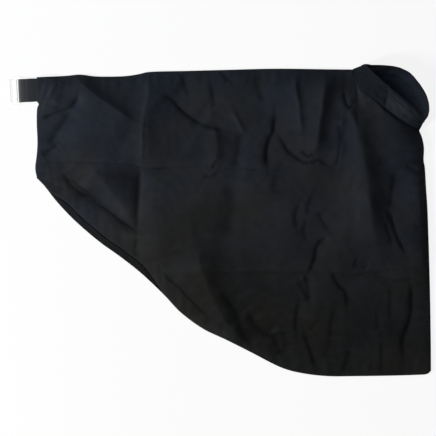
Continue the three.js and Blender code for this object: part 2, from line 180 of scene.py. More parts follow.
def neck_back(share, lean):
    """How far the neck's upper edge leans back over the bag at each share of its width: a parabola, and a
    bell where its cloth puffs out near the start."""
    puff = NECK_PUFF * bell(share, PUFF_MIDDLE, PUFF_HALF) * np.clip(share / PUFF_FADE, 0, 1)
    return lean * (NECK_SAG * (1 - (2 * share - 1) ** 2) + puff)


def bag_plan(along, across, lean=0.0):
    """A patch between the bag's four edges: each place is the blend of the two edges across plus the blend of
    the two edges along, less the blend of the four corners. The neck's edge may lean back over the bag."""
    neck_from = TOP_LENGTH / BODY_LENGTH
    share = np.clip((along - neck_from) / (1 - neck_from), 0, 1)[:, None]
    seam_x = np.minimum(along / neck_from, 1) * TOP_LENGTH
    top = np.stack([seam_x, top_of(seam_x)], axis=-1)
    top = top + neck_along * share * NECK_WIDTH - neck_out * neck_back(share, lean)
    low_x = sweep_line[0, 0] + along * (sweep_line[-1, 0] - sweep_line[0, 0])
    low = np.stack([low_x, low_of(low_x)], axis=-1)
    left_y = low[0, 1] * (1 - across)
    left = np.stack([left_of(left_y), left_y], axis=-1)
    right_y = low[-1, 1] + across * (neck_end[1] - low[-1, 1])
    right = np.stack([right_of(right_y), right_y], axis=-1)
    a = along[:, None, None]
    b = across[None, :, None]
    corners = (1 - a) * ((1 - b) * low[0] + b * top[0]) + a * ((1 - b) * low[-1] + b * top[-1])
    return (1 - b) * low[:, None] + b * top[:, None] + (1 - a) * left[None] + a * right[None] - corners


LATTICE_SIDE = 256
LATTICE_MIDDLE = 100
LATTICE_GAIN = 1.6


def lattice(x, y, cell, seed):
    """Gradient noise: each corner of a square lattice has a seeded slope, and the four slopes around a place
    are blended by the quintic ease 6t5 - 15t4 + 10t3. It runs from about -1 to 1."""
    u, v = x / cell + LATTICE_MIDDLE, y / cell + LATTICE_MIDDLE
    column, row = np.floor(u).astype(int), np.floor(v).astype(int)
    angles = np.random.default_rng(seed).uniform(0, 2 * np.pi, (LATTICE_SIDE, LATTICE_SIDE))
    u, v = u - column, v - row
    ease_u, ease_v = (t**3 * (t * (6 * t - 15) + 10) for t in (u, v))
    corners = []
    for right in (0, 1):
        for up in (0, 1):
            angle = angles[(column + right) % LATTICE_SIDE, (row + up) % LATTICE_SIDE]
            corners.append(np.cos(angle) * (u - right) + np.sin(angle) * (v - up))
    near = corners[0] * (1 - ease_v) + corners[1] * ease_v
    far = corners[2] * (1 - ease_v) + corners[3] * ease_v
    return LATTICE_GAIN * (near * (1 - ease_u) + far * ease_u)


def grid_faces(columns, rows, first=0, flip=False):
    """The four-cornered faces of a grid of points, counted column by column."""
    index = np.arange(columns * rows).reshape(columns, rows) + first
    faces = np.stack([index[:-1, :-1], index[1:, :-1], index[1:, 1:], index[:-1, 1:]], axis=-1).reshape(-1, 4)
    return faces[:, ::-1] if flip else faces


def around_grid(columns, rows):
    """The points on the border of a grid, in order round it, anticlockwise from above."""
    index = np.arange(columns * rows).reshape(columns, rows)
    return np.concatenate([index[:-1, 0], index[-1, :-1], index[:0:-1, -1], index[0, :0:-1]])


def unit(vectors):
    """Directions of length one."""
    return vectors / np.maximum(np.linalg.norm(vectors, axis=-1, keepdims=True), 1e-12)


def outward(grid):
    """The direction square to a grid at each point, from the differences to its neighbours."""
    return unit(np.cross(np.gradient(grid, axis=0), np.gradient(grid, axis=1)))


def cloth_shell(outer, thickness):
    """The points and faces of a closed sheet: the outer grid, an inner one of every second point set in by
    the thickness, and a rim of five-cornered faces between them."""
    columns, rows = outer.shape[:2]
    inner = (outer - outward(outer) * thickness)[::2, ::2]
    inner_columns, inner_rows = inner.shape[:2]
    first = columns * rows
    fine = around_grid(columns, rows)
    coarse = around_grid(inner_columns, inner_rows) + first
    outer_rim = [np.roll(fine, -2)[::2], np.roll(fine, -1)[::2], fine[::2]]
    rim = np.stack([coarse, np.roll(coarse, -1), *outer_rim], axis=-1)
    faces = grid_faces(columns, rows).tolist()
    faces += grid_faces(inner_columns, inner_rows, first, flip=True).tolist()
    faces += rim.tolist()
    return np.concatenate([outer.reshape(-1, 3), inner.reshape(-1, 3)]), faces


def add_piece(name, points, faces, uv, material):
    """A smooth mesh object at the origin, with its pattern's coordinates in metres in the map named cloth."""
    mesh = bpy.data.meshes.new(name)
    mesh.from_pydata((points + CORNER).tolist(), [], faces)
    mesh.shade_smooth()
    corner_points = np.empty(len(mesh.loops), np.int32)
    mesh.loops.foreach_get("vertex_index", corner_points)
    mesh.uv_layers.new(name="cloth").uv.foreach_set("vector", uv[corner_points].astype(np.float32).ravel())
    mesh.materials.append(material)
    piece = bpy.data.objects.new(name, mesh)
    bpy.context.collection.objects.link(piece)
    return piece


def add_node(tree, kind, inputs=None, **settings):
    """A shader node with its settings and the values or links of its inputs."""
    node = tree.nodes.new(kind)
    for setting, value in settings.items():
        setattr(node, setting, value)
    for socket, value in (inputs or {}).items():
        if isinstance(value, bpy.types.NodeSocket):
            tree.links.new(value, node.inputs[socket])
        else:
            node.inputs[socket].default_value = value
    return node


def add_math(tree, operation, *values):
    """The result of a Math node on one, two or three values or links."""
    return add_node(tree, "ShaderNodeMath", dict(enumerate(values)), operation=operation).outputs[0]


def add_mix(tree, share, first, second, blend="MIX"):
    """The colour at a share of the way from the first colour to its blend with the second."""
    inputs = {"Factor": share, 6: first, 7: second}
    return add_node(tree, "ShaderNodeMix", inputs, data_type="RGBA", blend_type=blend).outputs[2]


def add_tint(tree, colour, tint):
    """A colour times another colour or a value."""
    return add_mix(tree, 1.0, colour, tint, "MULTIPLY")


def add_range(tree, value, start, end, low=0.0, high=1.0):
    """A value taken in a straight line from one range to another, and kept within it."""
    return add_node(tree, "ShaderNodeMapRange", {0: value, 1: start, 2: end, 3: low, 4: high}).outputs[0]


def add_noise(tree, place, scale, detail):
    """Cloudy noise around a half, with about so many lumps to the metre."""
    inputs = {"Vector": place, "Scale": scale, "Detail": detail}
    return add_node(tree, "ShaderNodeTexNoise", inputs).outputs[0]


def read_share(tree, name):
    """The share that the mesh keeps in an attribute."""
    return add_node(tree, "ShaderNodeAttribute", attribute_name=name).outputs["Fac"]


def new_material(name):
    """A material with nodes, and its tree and shader."""
    material = bpy.data.materials.new(name)
    material.use_nodes = True
    return material, material.node_tree, material.node_tree.nodes["Principled BSDF"]


def set_surface(tree, shader, colour, height, **values):
    """Gives a shader its colour, its bump and the values that are the same all over."""
    bump = add_node(tree, "ShaderNodeBump", {"Height": height, "Distance": 1.0})
    tree.links.new(colour, shader.inputs["Base Color"])
    tree.links.new(bump.outputs["Normal"], shader.inputs["Normal"])
    for socket, value in values.items():
        shader.inputs[socket.replace("_", " ")].default_value = value


def new_group(name, inputs, outputs):
    """An empty node group with named sockets, and the nodes that bring them in and out."""
    group = bpy.data.node_groups.new(name, "ShaderNodeTree")
    for socket, kind in inputs.items():
        group.interface.new_socket(socket, in_out="INPUT", socket_type=kind)
    for socket, kind in outputs.items():
        group.interface.new_socket(socket, in_out="OUTPUT", socket_type=kind)
    return group, group.nodes.new("NodeGroupInput").outputs, group.nodes.new("NodeGroupOutput").inputs


# The look of the cloth, which every woven piece shares: a plain weave, uneven dye, painted shade in the
# creases and patches, pale rubbed crests (a painted highlight where the collar puffs out) and a soft crumple.
# Painted light falloff makes it darker and warmer at the bag's foot and bluer at the top; it is also paler at
# the far edge.
DYE_LUMPS = 16.0
DYE_RANGE = (0.32, 0.68)
# Painted light falloff over the bag: the foot's darker, warmer tone and the top's bluer tint; the far edge is
# paler
FOOT_Y = (-0.19, 0.02)
FOOT_TONE = 0.50
FAR_PALER_X = (0.19, 0.31)
FAR_PALER_TONE = 1.5
TOP_Y = (-0.16, 0.24)
TOP_SLOPE = 0.45  # how much lower the top's tint reaches to the sides
FOOT_TINT = (1.03, 1.01, 0.84, 1)
TOP_TINT = (0.90, 1.03, 1.27, 1)
HUE_LUMPS = 11.0
HUE_RANGE = (0.36, 0.64)
WARM_HUE = (1.06, 1.03, 0.92, 1)
COOL_HUE = (0.94, 0.99, 1.09, 1)
LIT_INSIDE_TONE = (9.6, 8.2, 7.2, 1)
PAINTED_SHADE_COLOUR = (0.0016, 0.0017, 0.0019, 1)
PAINTED_SHADE_MOST = 0.62
CREST_COLOUR = (0.045, 0.048, 0.055, 1)
CREST_MOST = 0.4
WEAVE_SHADE = 0.10
WEAVE_HEIGHT = 0.00006
SLUB_LUMPS = 260.0
SLUB_RANGE = (0.3, 0.7)
SLUB_SHADE = (0.9, 1.1)
CLOTH_ROUGH = (0.72, 0.9)
CRUMPLE_LUMPS = 70.0
CRUMPLE_HEIGHT = 0.0005
cloth_look, given, result = new_group(
    "cloth_look",
    {"Pale": "NodeSocketColor", "Dark": "NodeSocketColor", "Thread": "NodeSocketFloat"},
    {"Color": "NodeSocketColor", "Roughness": "NodeSocketFloat", "Height": "NodeSocketFloat"},
)
pattern = add_node(cloth_look, "ShaderNodeUVMap", uv_map="cloth").outputs[0]
place = add_node(cloth_look, "ShaderNodeTexCoord").outputs["Object"]
to_turns = {0: pattern, "Scale": add_math(cloth_look, "DIVIDE", math.pi, given["Thread"])}
turned = add_node(cloth_look, "ShaderNodeVectorMath", to_turns, operation="SCALE").outputs[0]
threads = add_node(cloth_look, "ShaderNodeSeparateXYZ", {0: turned}).outputs
warp = add_math(cloth_look, "SINE", threads[0])
weft = add_math(cloth_look, "SINE", threads[1])
weave = add_math(cloth_look, "MULTIPLY", warp, weft)
sides = add_node(cloth_look, "ShaderNodeSeparateXYZ", {0: place}).outputs
dye = add_range(cloth_look, add_noise(cloth_look, place, DYE_LUMPS, 5.0), *DYE_RANGE)
dyed = add_mix(cloth_look, dye, given["Dark"], given["Pale"])
# Painted light falloff: darker and warmer towards the foot, bluer towards the top; also paler towards the far
# edge
foot = add_range(cloth_look, sides[1], *FOOT_Y, FOOT_TONE, 1.0)
far_paler = add_range(cloth_look, sides[0], *FAR_PALER_X, 1.0, FAR_PALER_TONE)
toned = add_tint(cloth_look, dyed, add_math(cloth_look, "MULTIPLY", foot, far_paler))
aside = add_math(cloth_look, "MULTIPLY", add_math(cloth_look, "ABSOLUTE", sides[0]), TOP_SLOPE)
upwards = add_range(cloth_look, add_math(cloth_look, "ADD", sides[1], aside), *TOP_Y)
topped = add_tint(cloth_look, toned, add_mix(cloth_look, upwards, FOOT_TINT, TOP_TINT))
hue = add_range(cloth_look, add_noise(cloth_look, place, HUE_LUMPS, 2.0), *HUE_RANGE)
hued = add_tint(cloth_look, topped, add_mix(cloth_look, hue, WARM_HUE, COOL_HUE))
# Painted light: the inside of the collar's mouth is made paler, by the share that the mesh keeps for it
inside = add_mix(cloth_look, read_share(cloth_look, "inside"), (1, 1, 1, 1), LIT_INSIDE_TONE)
with_lit_inside = add_tint(cloth_look, hued, inside)
# Painted shade: the cloth goes darker by the share that the mesh keeps for it, in creases, beside the neck and
# in patches
shade_share = add_math(cloth_look, "MULTIPLY", read_share(cloth_look, "painted_shade"), PAINTED_SHADE_MOST)
shaded = add_mix(cloth_look, shade_share, with_lit_inside, PAINTED_SHADE_COLOUR)
# Paler on crests: wear on the upper panel, and a painted highlight where the collar puffs out
rubbed = add_math(cloth_look, "MULTIPLY", read_share(cloth_look, "crest"), CREST_MOST)
worn_and_highlit = add_mix(cloth_look, rubbed, shaded, CREST_COLOUR)
slub = add_noise(cloth_look, place, SLUB_LUMPS, 2.0)
speckle = add_math(cloth_look, "MULTIPLY_ADD", weave, WEAVE_SHADE, 1.0)
flecked = add_math(cloth_look, "MULTIPLY", speckle, add_range(cloth_look, slub, *SLUB_RANGE, *SLUB_SHADE))
crumple = add_noise(cloth_look, place, CRUMPLE_LUMPS, 3.0)
fine_height = add_math(cloth_look, "MULTIPLY", weave, WEAVE_HEIGHT)
soft_height = add_math(cloth_look, "MULTIPLY", crumple, CRUMPLE_HEIGHT)
cloth_look.links.new(add_tint(cloth_look, worn_and_highlit, flecked), result["Color"])
cloth_look.links.new(add_range(cloth_look, slub, 0.0, 1.0, *CLOTH_ROUGH), result["Roughness"])
cloth_look.links.new(add_math(cloth_look, "ADD", fine_height, soft_height), result["Height"])


# Stitches: a row of short threads, end to end, along a line of the pattern. Away is the distance from the
# line, and Share is how much of a place is thread.
STITCH_GAP = (-0.75, -0.35)  # where the sine along the row turns from gap to thread
STITCH_SIDE = (0.6, 1.0)  # where the thread ends across the row, as shares of its width
STITCH_PITCH = 0.0034
STITCH_WIDTH = 0.0005
STITCH_HEIGHT = 0.0004
STITCH_COLOUR = (0.012, 0.013, 0.015, 1)
stitches, given, result = new_group(
    "stitches",
    dict.fromkeys(("Along", "Away", "Pitch", "Width"), "NodeSocketFloat"),
    {"Share": "NodeSocketFloat"},
)
run = add_math(stitches, "MULTIPLY", given["Along"], 2 * math.pi)
swing = add_math(stitches, "SINE", add_math(stitches, "DIVIDE", run, given["Pitch"]))
dash = add_range(stitches, swing, *STITCH_GAP)
off_line = add_math(stitches, "DIVIDE", add_math(stitches, "ABSOLUTE", given["Away"]), given["Width"])
thread = add_range(stitches, off_line, *STITCH_SIDE, 1.0, 0.0)
stitches.links.new(add_math(stitches, "MULTIPLY", dash, thread), result["Share"])


def stitch_rows(tree, along, across, rows, pitch, width):
    """The share of thread over rows of stitches at given places across a piece."""
    share = None
    for row in rows:
        away = add_math(tree, "SUBTRACT", across, row)
        inputs = {"Along": along, "Away": away, "Pitch": pitch, "Width": width}
        thread = add_node(tree, "ShaderNodeGroup", inputs, node_tree=stitches).outputs[0]
        share = thread if share is None else add_math(tree, "MAXIMUM", share, thread)
    return share


def cloth_material(name, pale, dark, thread, sheen, rows=()):
    """Woven polyester: the shared look on a rough surface with a little sheen, and any rows of stitches."""
    material, tree, shader = new_material(name)
    inputs = {"Pale": (*pale, 1), "Dark": (*dark, 1), "Thread": thread}
    colour, rough, height = add_node(tree, "ShaderNodeGroup", inputs, node_tree=cloth_look).outputs
    if rows:
        pattern = add_node(tree, "ShaderNodeUVMap", uv_map="cloth").outputs[0]
        sides = add_node(tree, "ShaderNodeSeparateXYZ", {0: pattern}).outputs
        sewn = stitch_rows(tree, sides[0], sides[1], rows, STITCH_PITCH, STITCH_WIDTH)
        colour = add_mix(tree, sewn, colour, STITCH_COLOUR)
        height = add_math(tree, "ADD", height, add_math(tree, "MULTIPLY", sewn, STITCH_HEIGHT))
    tree.links.new(rough, shader.inputs["Roughness"])
    set_surface(
        tree, shader, colour, height,
        Specular_IOR_Level=0.05, Sheen_Weight=sheen, Sheen_Roughness=0.45, Sheen_Tint=(0.75, 0.85, 1.0, 1),
    )
    return material


bag_cloth = cloth_material(
    "bag_cloth", (0.0158, 0.0161, 0.0174), (0.0102, 0.0104, 0.0111), thread=0.0007, sheen=0.03
)
lower_plan = bag_plan(spread(LOWER_COLUMNS, BODY_LENGTH), spread(LOWER_ROWS, MEAN_WIDTH))
ripple = (1 + np.clip(lattice(lower_plan[..., 0], lower_plan[..., 1], RIPPLE_SIZE, seed=3), -1, 1)) / 2
lower_top = np.concatenate([lower_plan, (CLOTH + RIPPLE * ripple)[..., None]], axis=-1)
points, faces = cloth_shell(lower_top, CLOTH)
lower_panel = add_piece("lower_panel_cloth", points, faces, points[:, :2], bag_cloth)
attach(lower_panel, "root")
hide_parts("lower_panel")


# Strap tab: 38 mm ribbed webbing, folded round the buckle's inner bar and sewn to itself.
# Its end is tucked between the two panels, just below the strap corner.
WEBBING_WIDTH = 0.038
WEBBING = 0.0016
STRAP_REACH = 0.030
STRAP_TUCK = 0.012
STRAP_MIDDLE = 0.021
STRAP_TILT = math.radians(2.6)
WIRE = 0.0026
EYE_CLEARANCE = 0.00035
STRAP_PART = 0.0085
EYE_INNER = WIRE / 2 + EYE_CLEARANCE
STRAP_BASE = 0.0018
EYE_X = EYE_INNER + WEBBING - STRAP_REACH
EYE_HEIGHT = STRAP_BASE + WEBBING
STRAP_COLUMNS = 150
STRAP_SIDES = 96
BEND_STEPS = 60
SECTION_POWERS = (0.55, 0.35)  # below one, so that the section fills out to a flat loop
SECTION_FILL = 0.48  # the section's half height in thicknesses, a little short of a half
STRAP_WAVER = 0.00024
WAVER_TURNS = 3
WAVER_FROM = 0.12  # share of its length from the fold
FOLD_TO_SEAM = 0.012
FOLD_WEAR = 0.0115
RIB_PITCH = 0.0019
RIB_HEIGHT = 0.00012
RIB_SHADE = 0.12
PICK_PITCH = 0.0011
PICK_HEIGHT = 0.00006
DUST_LUMPS = 120.0
WEBBING_STITCH = (0.0032, 0.0006)  # pitch and width


def on_strap(points):
    """Places on the bag of points in the strap's own frame, which slopes down a little away from the bag."""
    x, y, z = np.moveaxis(points, -1, 0)
    level, down = math.cos(STRAP_TILT), math.sin(STRAP_TILT)
    return np.stack([x * level - y * down, x * down + y * level - STRAP_MIDDLE, z], axis=-1)


def even_line(places, count):
    """Places at even steps along a line of given places, and the line's length."""
    travelled = np.concatenate([[0], np.cumsum(np.linalg.norm(np.diff(places, axis=0), axis=1))])
    steps = np.linspace(0, travelled[-1], count)
    return np.stack([np.interp(steps, travelled, column) for column in places.T], axis=-1), travelled[-1]


def strap_line():
    """The middle of the webbing seen from its side: along the lower layer, round the bar and back on top."""
    radius = EYE_INNER + WEBBING / 2
    reach = math.hypot(STRAP_PART, WEBBING / 2)
    leave = math.atan2(WEBBING / 2, STRAP_PART) + math.acos(radius / reach)
    angles = np.linspace(-leave, leave - 2 * math.pi, BEND_STEPS)
    bend = np.stack([EYE_X + radius * np.cos(angles), EYE_HEIGHT + radius * np.sin(angles)], axis=-1)
    low = np.array([[STRAP_TUCK, EYE_HEIGHT - WEBBING / 2], [EYE_X + STRAP_PART, EYE_HEIGHT - WEBBING / 2]])
    high = low[::-1] + [0, WEBBING]
    return even_line(np.concatenate([low, bend, high]), STRAP_COLUMNS)


def webbing_section(count):
    """Round the section of the webbing, a flat loop with round edges: the cosine across it and the sine up
    it, each to a power below one with its sign kept."""
    angle = np.linspace(0, 2 * math.pi, count, endpoint=False)
    across = np.sign(np.cos(angle)) * np.abs(np.cos(angle)) ** SECTION_POWERS[0]
    up = np.sign(np.sin(angle)) * np.abs(np.sin(angle)) ** SECTION_POWERS[1]
    return across * WEBBING_WIDTH / 2, up * WEBBING * SECTION_FILL


def strap_surface():
    """The section carried along the line: each point is the line's point plus the section's height square to
    the line and its width across, whose edges waver a little outside the fold."""
    line, length = strap_line()
    across, up = webbing_section(STRAP_SIDES)
    run = unit(np.gradient(line, axis=0))
    side = np.stack([-run[:, 1], run[:, 0]], axis=-1)
    share = np.linspace(0, 1, STRAP_COLUMNS)[:, None]
    waver = STRAP_WAVER * np.sin(share * 2 * math.pi * WAVER_TURNS) * (np.abs(share - 0.5) > WAVER_FROM)
    x = line[:, :1] + side[:, :1] * up
    y = across + waver
    z = line[:, 1:] + side[:, 1:] * up
    grid = np.stack([x, y, z], axis=-1)
    return grid, np.stack(np.broadcast_arrays(share * length, across[None]), axis=-1)


def tube_faces(columns, rows, first=0, ring=False):
    """Faces of a grid that closes on itself across its rows, and along its columns too where it is a ring.
    Open ends get one face each."""
    index = np.arange(columns * rows).reshape(columns, rows) + first
    near, far = (index, np.roll(index, -1, axis=0)) if ring else (index[:-1], index[1:])
    faces = np.stack([near, far, np.roll(far, -1, axis=1), np.roll(near, -1, axis=1)], axis=-1)
    ends = [] if ring else [index[0].tolist(), index[-1, ::-1].tolist()]
    return faces.reshape(-1, 4).tolist() + ends


def webbing_material(seams):
    """Ribbed webbing: ribs along its length over a fine weave, rubbed pale at the fold, with its seams."""
    material, tree, shader = new_material("webbing")
    pattern = add_node(tree, "ShaderNodeUVMap", uv_map="cloth").outputs[0]
    place = add_node(tree, "ShaderNodeTexCoord").outputs["Object"]
    sides = add_node(tree, "ShaderNodeSeparateXYZ", {0: pattern}).outputs
    rib = add_math(tree, "SINE", add_math(tree, "MULTIPLY", sides[1], 2 * math.pi / RIB_PITCH))
    pick = add_math(tree, "SINE", add_math(tree, "MULTIPLY", sides[0], 2 * math.pi / PICK_PITCH))
    dust = add_noise(tree, place, DUST_LUMPS, 4.0)
    base = add_mix(tree, dust, (0.013, 0.0148, 0.019, 1), (0.020, 0.022, 0.027, 1))
    rubbed = add_mix(tree, read_share(tree, "crest"), base, (0.125, 0.130, 0.138, 1))
    groove = add_math(tree, "MULTIPLY_ADD", rib, RIB_SHADE, 0.5)
    ribbed = add_mix(tree, groove, rubbed, (0.012, 0.013, 0.015, 1))
    sewn = stitch_rows(tree, sides[1], sides[0], seams, *WEBBING_STITCH)
    threaded = add_mix(tree, sewn, ribbed, (0.050, 0.052, 0.057, 1))
    rib_height = add_math(tree, "MULTIPLY", rib, RIB_HEIGHT)
    pick_height = add_math(tree, "MULTIPLY", pick, PICK_HEIGHT)
    sewn_height = add_math(tree, "MULTIPLY", sewn, STITCH_HEIGHT)
    height = add_math(tree, "ADD", add_math(tree, "ADD", rib_height, pick_height), sewn_height)
    set_surface(tree, shader, threaded, height, Roughness=0.7, Specular_IOR_Level=0.1, Sheen_Weight=0.04)
    return material


def set_share(piece, name, values):
    """Keeps a share from 0 to 1 for each point, in an attribute of the mesh."""
    values = values.ravel().astype(np.float32)
    piece.data.attributes.new(name, "FLOAT", "POINT").data.foreach_set("value", values)


strap_grid, strap_uv = strap_surface()
fold_at = strap_uv[-1, 0, 0] / 2
webbing = webbing_material([fold_at - FOLD_TO_SEAM, fold_at + FOLD_TO_SEAM])
strap_faces = tube_faces(STRAP_COLUMNS, STRAP_SIDES)
strap_tab = add_piece(
    "strap_webbing", on_strap(strap_grid).reshape(-1, 3), strap_faces, strap_uv.reshape(-1, 2), webbing
)
set_share(strap_tab, "crest", bell(strap_grid[..., 0], -STRAP_REACH, FOLD_WEAR))
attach(strap_tab, "root")
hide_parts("strap_tab")


# Buckle: a three-bar slide of bent and welded wire with bright nickel plating, held by the fold of the strap.
# Its free bar hangs down to the ground.
INNER_PITCH = 0.0066
OUTER_PITCH = 0.011
BUCKLE_SPAN = INNER_PITCH + OUTER_PITCH
BUCKLE_CLEARANCE = 0.0005
RAIL_SIDE = WEBBING_WIDTH / 2 + BUCKLE_CLEARANCE + WIRE / 2
BEND_RADIUS = 0.0028
BUCKLE_DROP = math.asin((EYE_HEIGHT - WIRE / 2) / BUCKLE_SPAN)
WIRE_SIDES = 20
FRAME_STEPS = 120
BAR_GIRTH = 0.96  # of the wire's, so that the bar ends inside it
BAR_BLUNT = 24
BAR_LEAST = 0.05
STREAK_LUMPS = 420.0
STREAK_HEIGHT = 0.00004
METAL_ROUGH = (0.14, 0.34)


def rounded_frame(length, half_width, radius, arc_steps=10):
    """A rectangle from x 0 to minus its length, with round corners: each corner is a quarter circle."""
    near, far = -radius, -length + radius
    low, high = -half_width + radius, half_width - radius
    quarter = np.radians(np.linspace(0, 90, arc_steps))
    runs = []
    for x, y, start in ((near, low, 270), (near, high, 0), (far, high, 90), (far, low, 180)):
        angle = quarter + math.radians(start)
        runs.append(np.stack([x + radius * np.cos(angle), y + radius * np.sin(angle)], axis=-1))
    return np.concatenate(runs)


def wire_ring(path, radius, sides):
    """A round wire along a closed flat path: each point is the path's point plus the radius times the cosine
    outwards in the plane and the sine upwards."""
    run = unit(np.roll(path, -1, axis=0) - np.roll(path, 1, axis=0))
    angle = np.linspace(0, 2 * math.pi, sides, endpoint=False)
    x = path[:, :1] + run[:, 1:] * radius * np.cos(angle)
    y = path[:, 1:] - run[:, :1] * radius * np.cos(angle)
    z = np.broadcast_to(radius * np.sin(angle), x.shape)
    return np.stack([x, y, z], axis=-1)


def wire_bar(x, half_length, radius, sides, steps=24):
    """A round bar along y with blunt ends: its girth is the root of 1 less a high power of the share of its
    half length."""
    share = np.sin(np.linspace(-math.pi / 2, math.pi / 2, steps))[:, None]
    girth = radius * np.maximum(np.sqrt(np.clip(1 - np.abs(share) ** BAR_BLUNT, 0, 1)), BAR_LEAST)
    angle = np.linspace(0, 2 * math.pi, sides, endpoint=False)
    places = (x + girth * np.cos(angle), share * half_length, girth * np.sin(angle))
    return np.stack(np.broadcast_arrays(*places), axis=-1)


def metal_material():
    """Bright nickel plate, rubbed in fine cloudy streaks."""
    material, tree, shader = new_material("buckle_metal")
    cloud = add_noise(tree, add_node(tree, "ShaderNodeTexCoord").outputs["Object"], STREAK_LUMPS, 4.0)
    colour = add_mix(tree, cloud, (0.80, 0.79, 0.76, 1), (0.90, 0.90, 0.89, 1))
    tree.links.new(add_range(tree, cloud, 0.0, 1.0, *METAL_ROUGH), shader.inputs["Roughness"])
    set_surface(tree, shader, colour, add_math(tree, "MULTIPLY", cloud, STREAK_HEIGHT), Metallic=1.0)
    return material


def on_buckle(points):
    """Places on the bag of points in the buckle's own frame, which is turned down about its held bar."""
    x, y, z = np.moveaxis(points, -1, 0)
    down, level = math.sin(BUCKLE_DROP), math.cos(BUCKLE_DROP)
    return on_strap(np.stack([EYE_X + x * level - z * down, y, EYE_HEIGHT + x * down + z * level], axis=-1))


frame_path = even_line(rounded_frame(BUCKLE_SPAN, RAIL_SIDE, BEND_RADIUS), FRAME_STEPS)[0]
frame_grid = wire_ring(frame_path[:-1], WIRE / 2, WIRE_SIDES)
bar_grid = wire_bar(-INNER_PITCH, RAIL_SIDE, WIRE / 2 * BAR_GIRTH, WIRE_SIDES)
buckle_points = on_buckle(np.concatenate([frame_grid.reshape(-1, 3), bar_grid.reshape(-1, 3)]))
buckle_faces = tube_faces(*frame_grid.shape[:2], ring=True)
buckle_faces += tube_faces(*bar_grid.shape[:2], first=frame_grid[..., 0].size)
buckle = add_piece("buckle_wire", buckle_points, buckle_faces, buckle_points[:, :2], metal_material())
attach(buckle, "root")
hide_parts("buckle")


# Upper panel: the top side of the bag, a slack sheet of the same cloth, sewn down round its edges.
# It keeps the packing creases, pleats and puckers with which it lies, and arches up where the neck opens.
UPPER_COLUMNS = 321
UPPER_ROWS = 241
SEAM_FOOT = 0.0015
SEAM_ROUND = 0.0024
LOFT = 0.0190
ROLLS = (0.036, 0.054, 0.036, 0.044)  # over which the loft rises from the strap, far, top and lower edges
CREASE_FADE = 0.007
LEAST_RISE = 0.0004
NECK_ARCH = 0.029
NECK_LEAN = math.radians(30)
NECK_BLEND = 0.075
NECK_SPREAD = 0.45
NECK_FOCUS = 0.0008  # the spread right at the neck
SEAM_SINK = 0.0028
SINK_FADE = 0.005
SINK_LEAST = 0.3  # share of the sink that is left near the neck's start
SINK_GROWS = (0.3, 0.6)  # shares of the neck's width
BAND_WIDTH = 0.012
BAND_START = 0.012
BAND_END = 0.215
BAND_FADE = 0.045
STRAP_LIFT = 0.0035
LIFT_LEVEL = 0.007  # how far past the strap the cloth stays lifted
LIFT_FALL = 0.017  # how far on it takes to come down
FOLD_STEPS = 5
FOLD_TAPER = 0.22  # share of its path over which a fold rises
FOLD_END = 0.25  # share of its rise that is left at its ends
FOLD_PAST = 1.6  # how many times its whole width over which it falls off past them
FOLD_BLUNT = 0.0007
SLOPE_STEP = 0.002
WANDER = 0.0013
WANDER_SIZE = 0.035
SWELLS = ((0.0022, 0.085, 21), (0.0007, 0.040, 22), (0.0002, 0.014, 24))  # rise, size and seed
RIDGE_RISE = 0.0006
RIDGE_SIZE = 0.028
PUCKER_RISE = 0.0010
PUCKER_SIZE = 0.012
PUCKER_STRETCH = 0.15  # how much slower they change away from the seam
PUCKER_MIDDLE = 0.010
PUCKER_HALF = 0.014
PUCKER_SEED = 31
WEAR_HEIGHT = 0.0032
WEAR_MOST = 0.5
# Painted shade: the crease depth that gets full shade, and the reach, extent and share of the shade beside the
# neck
CREASE_SHADE_DEPTH = 0.00075
NECK_SHADE_REACH = 0.022
NECK_SHADE_TO = 0.6  # share of the neck's width, from its start
NECK_SHADE = 0.5

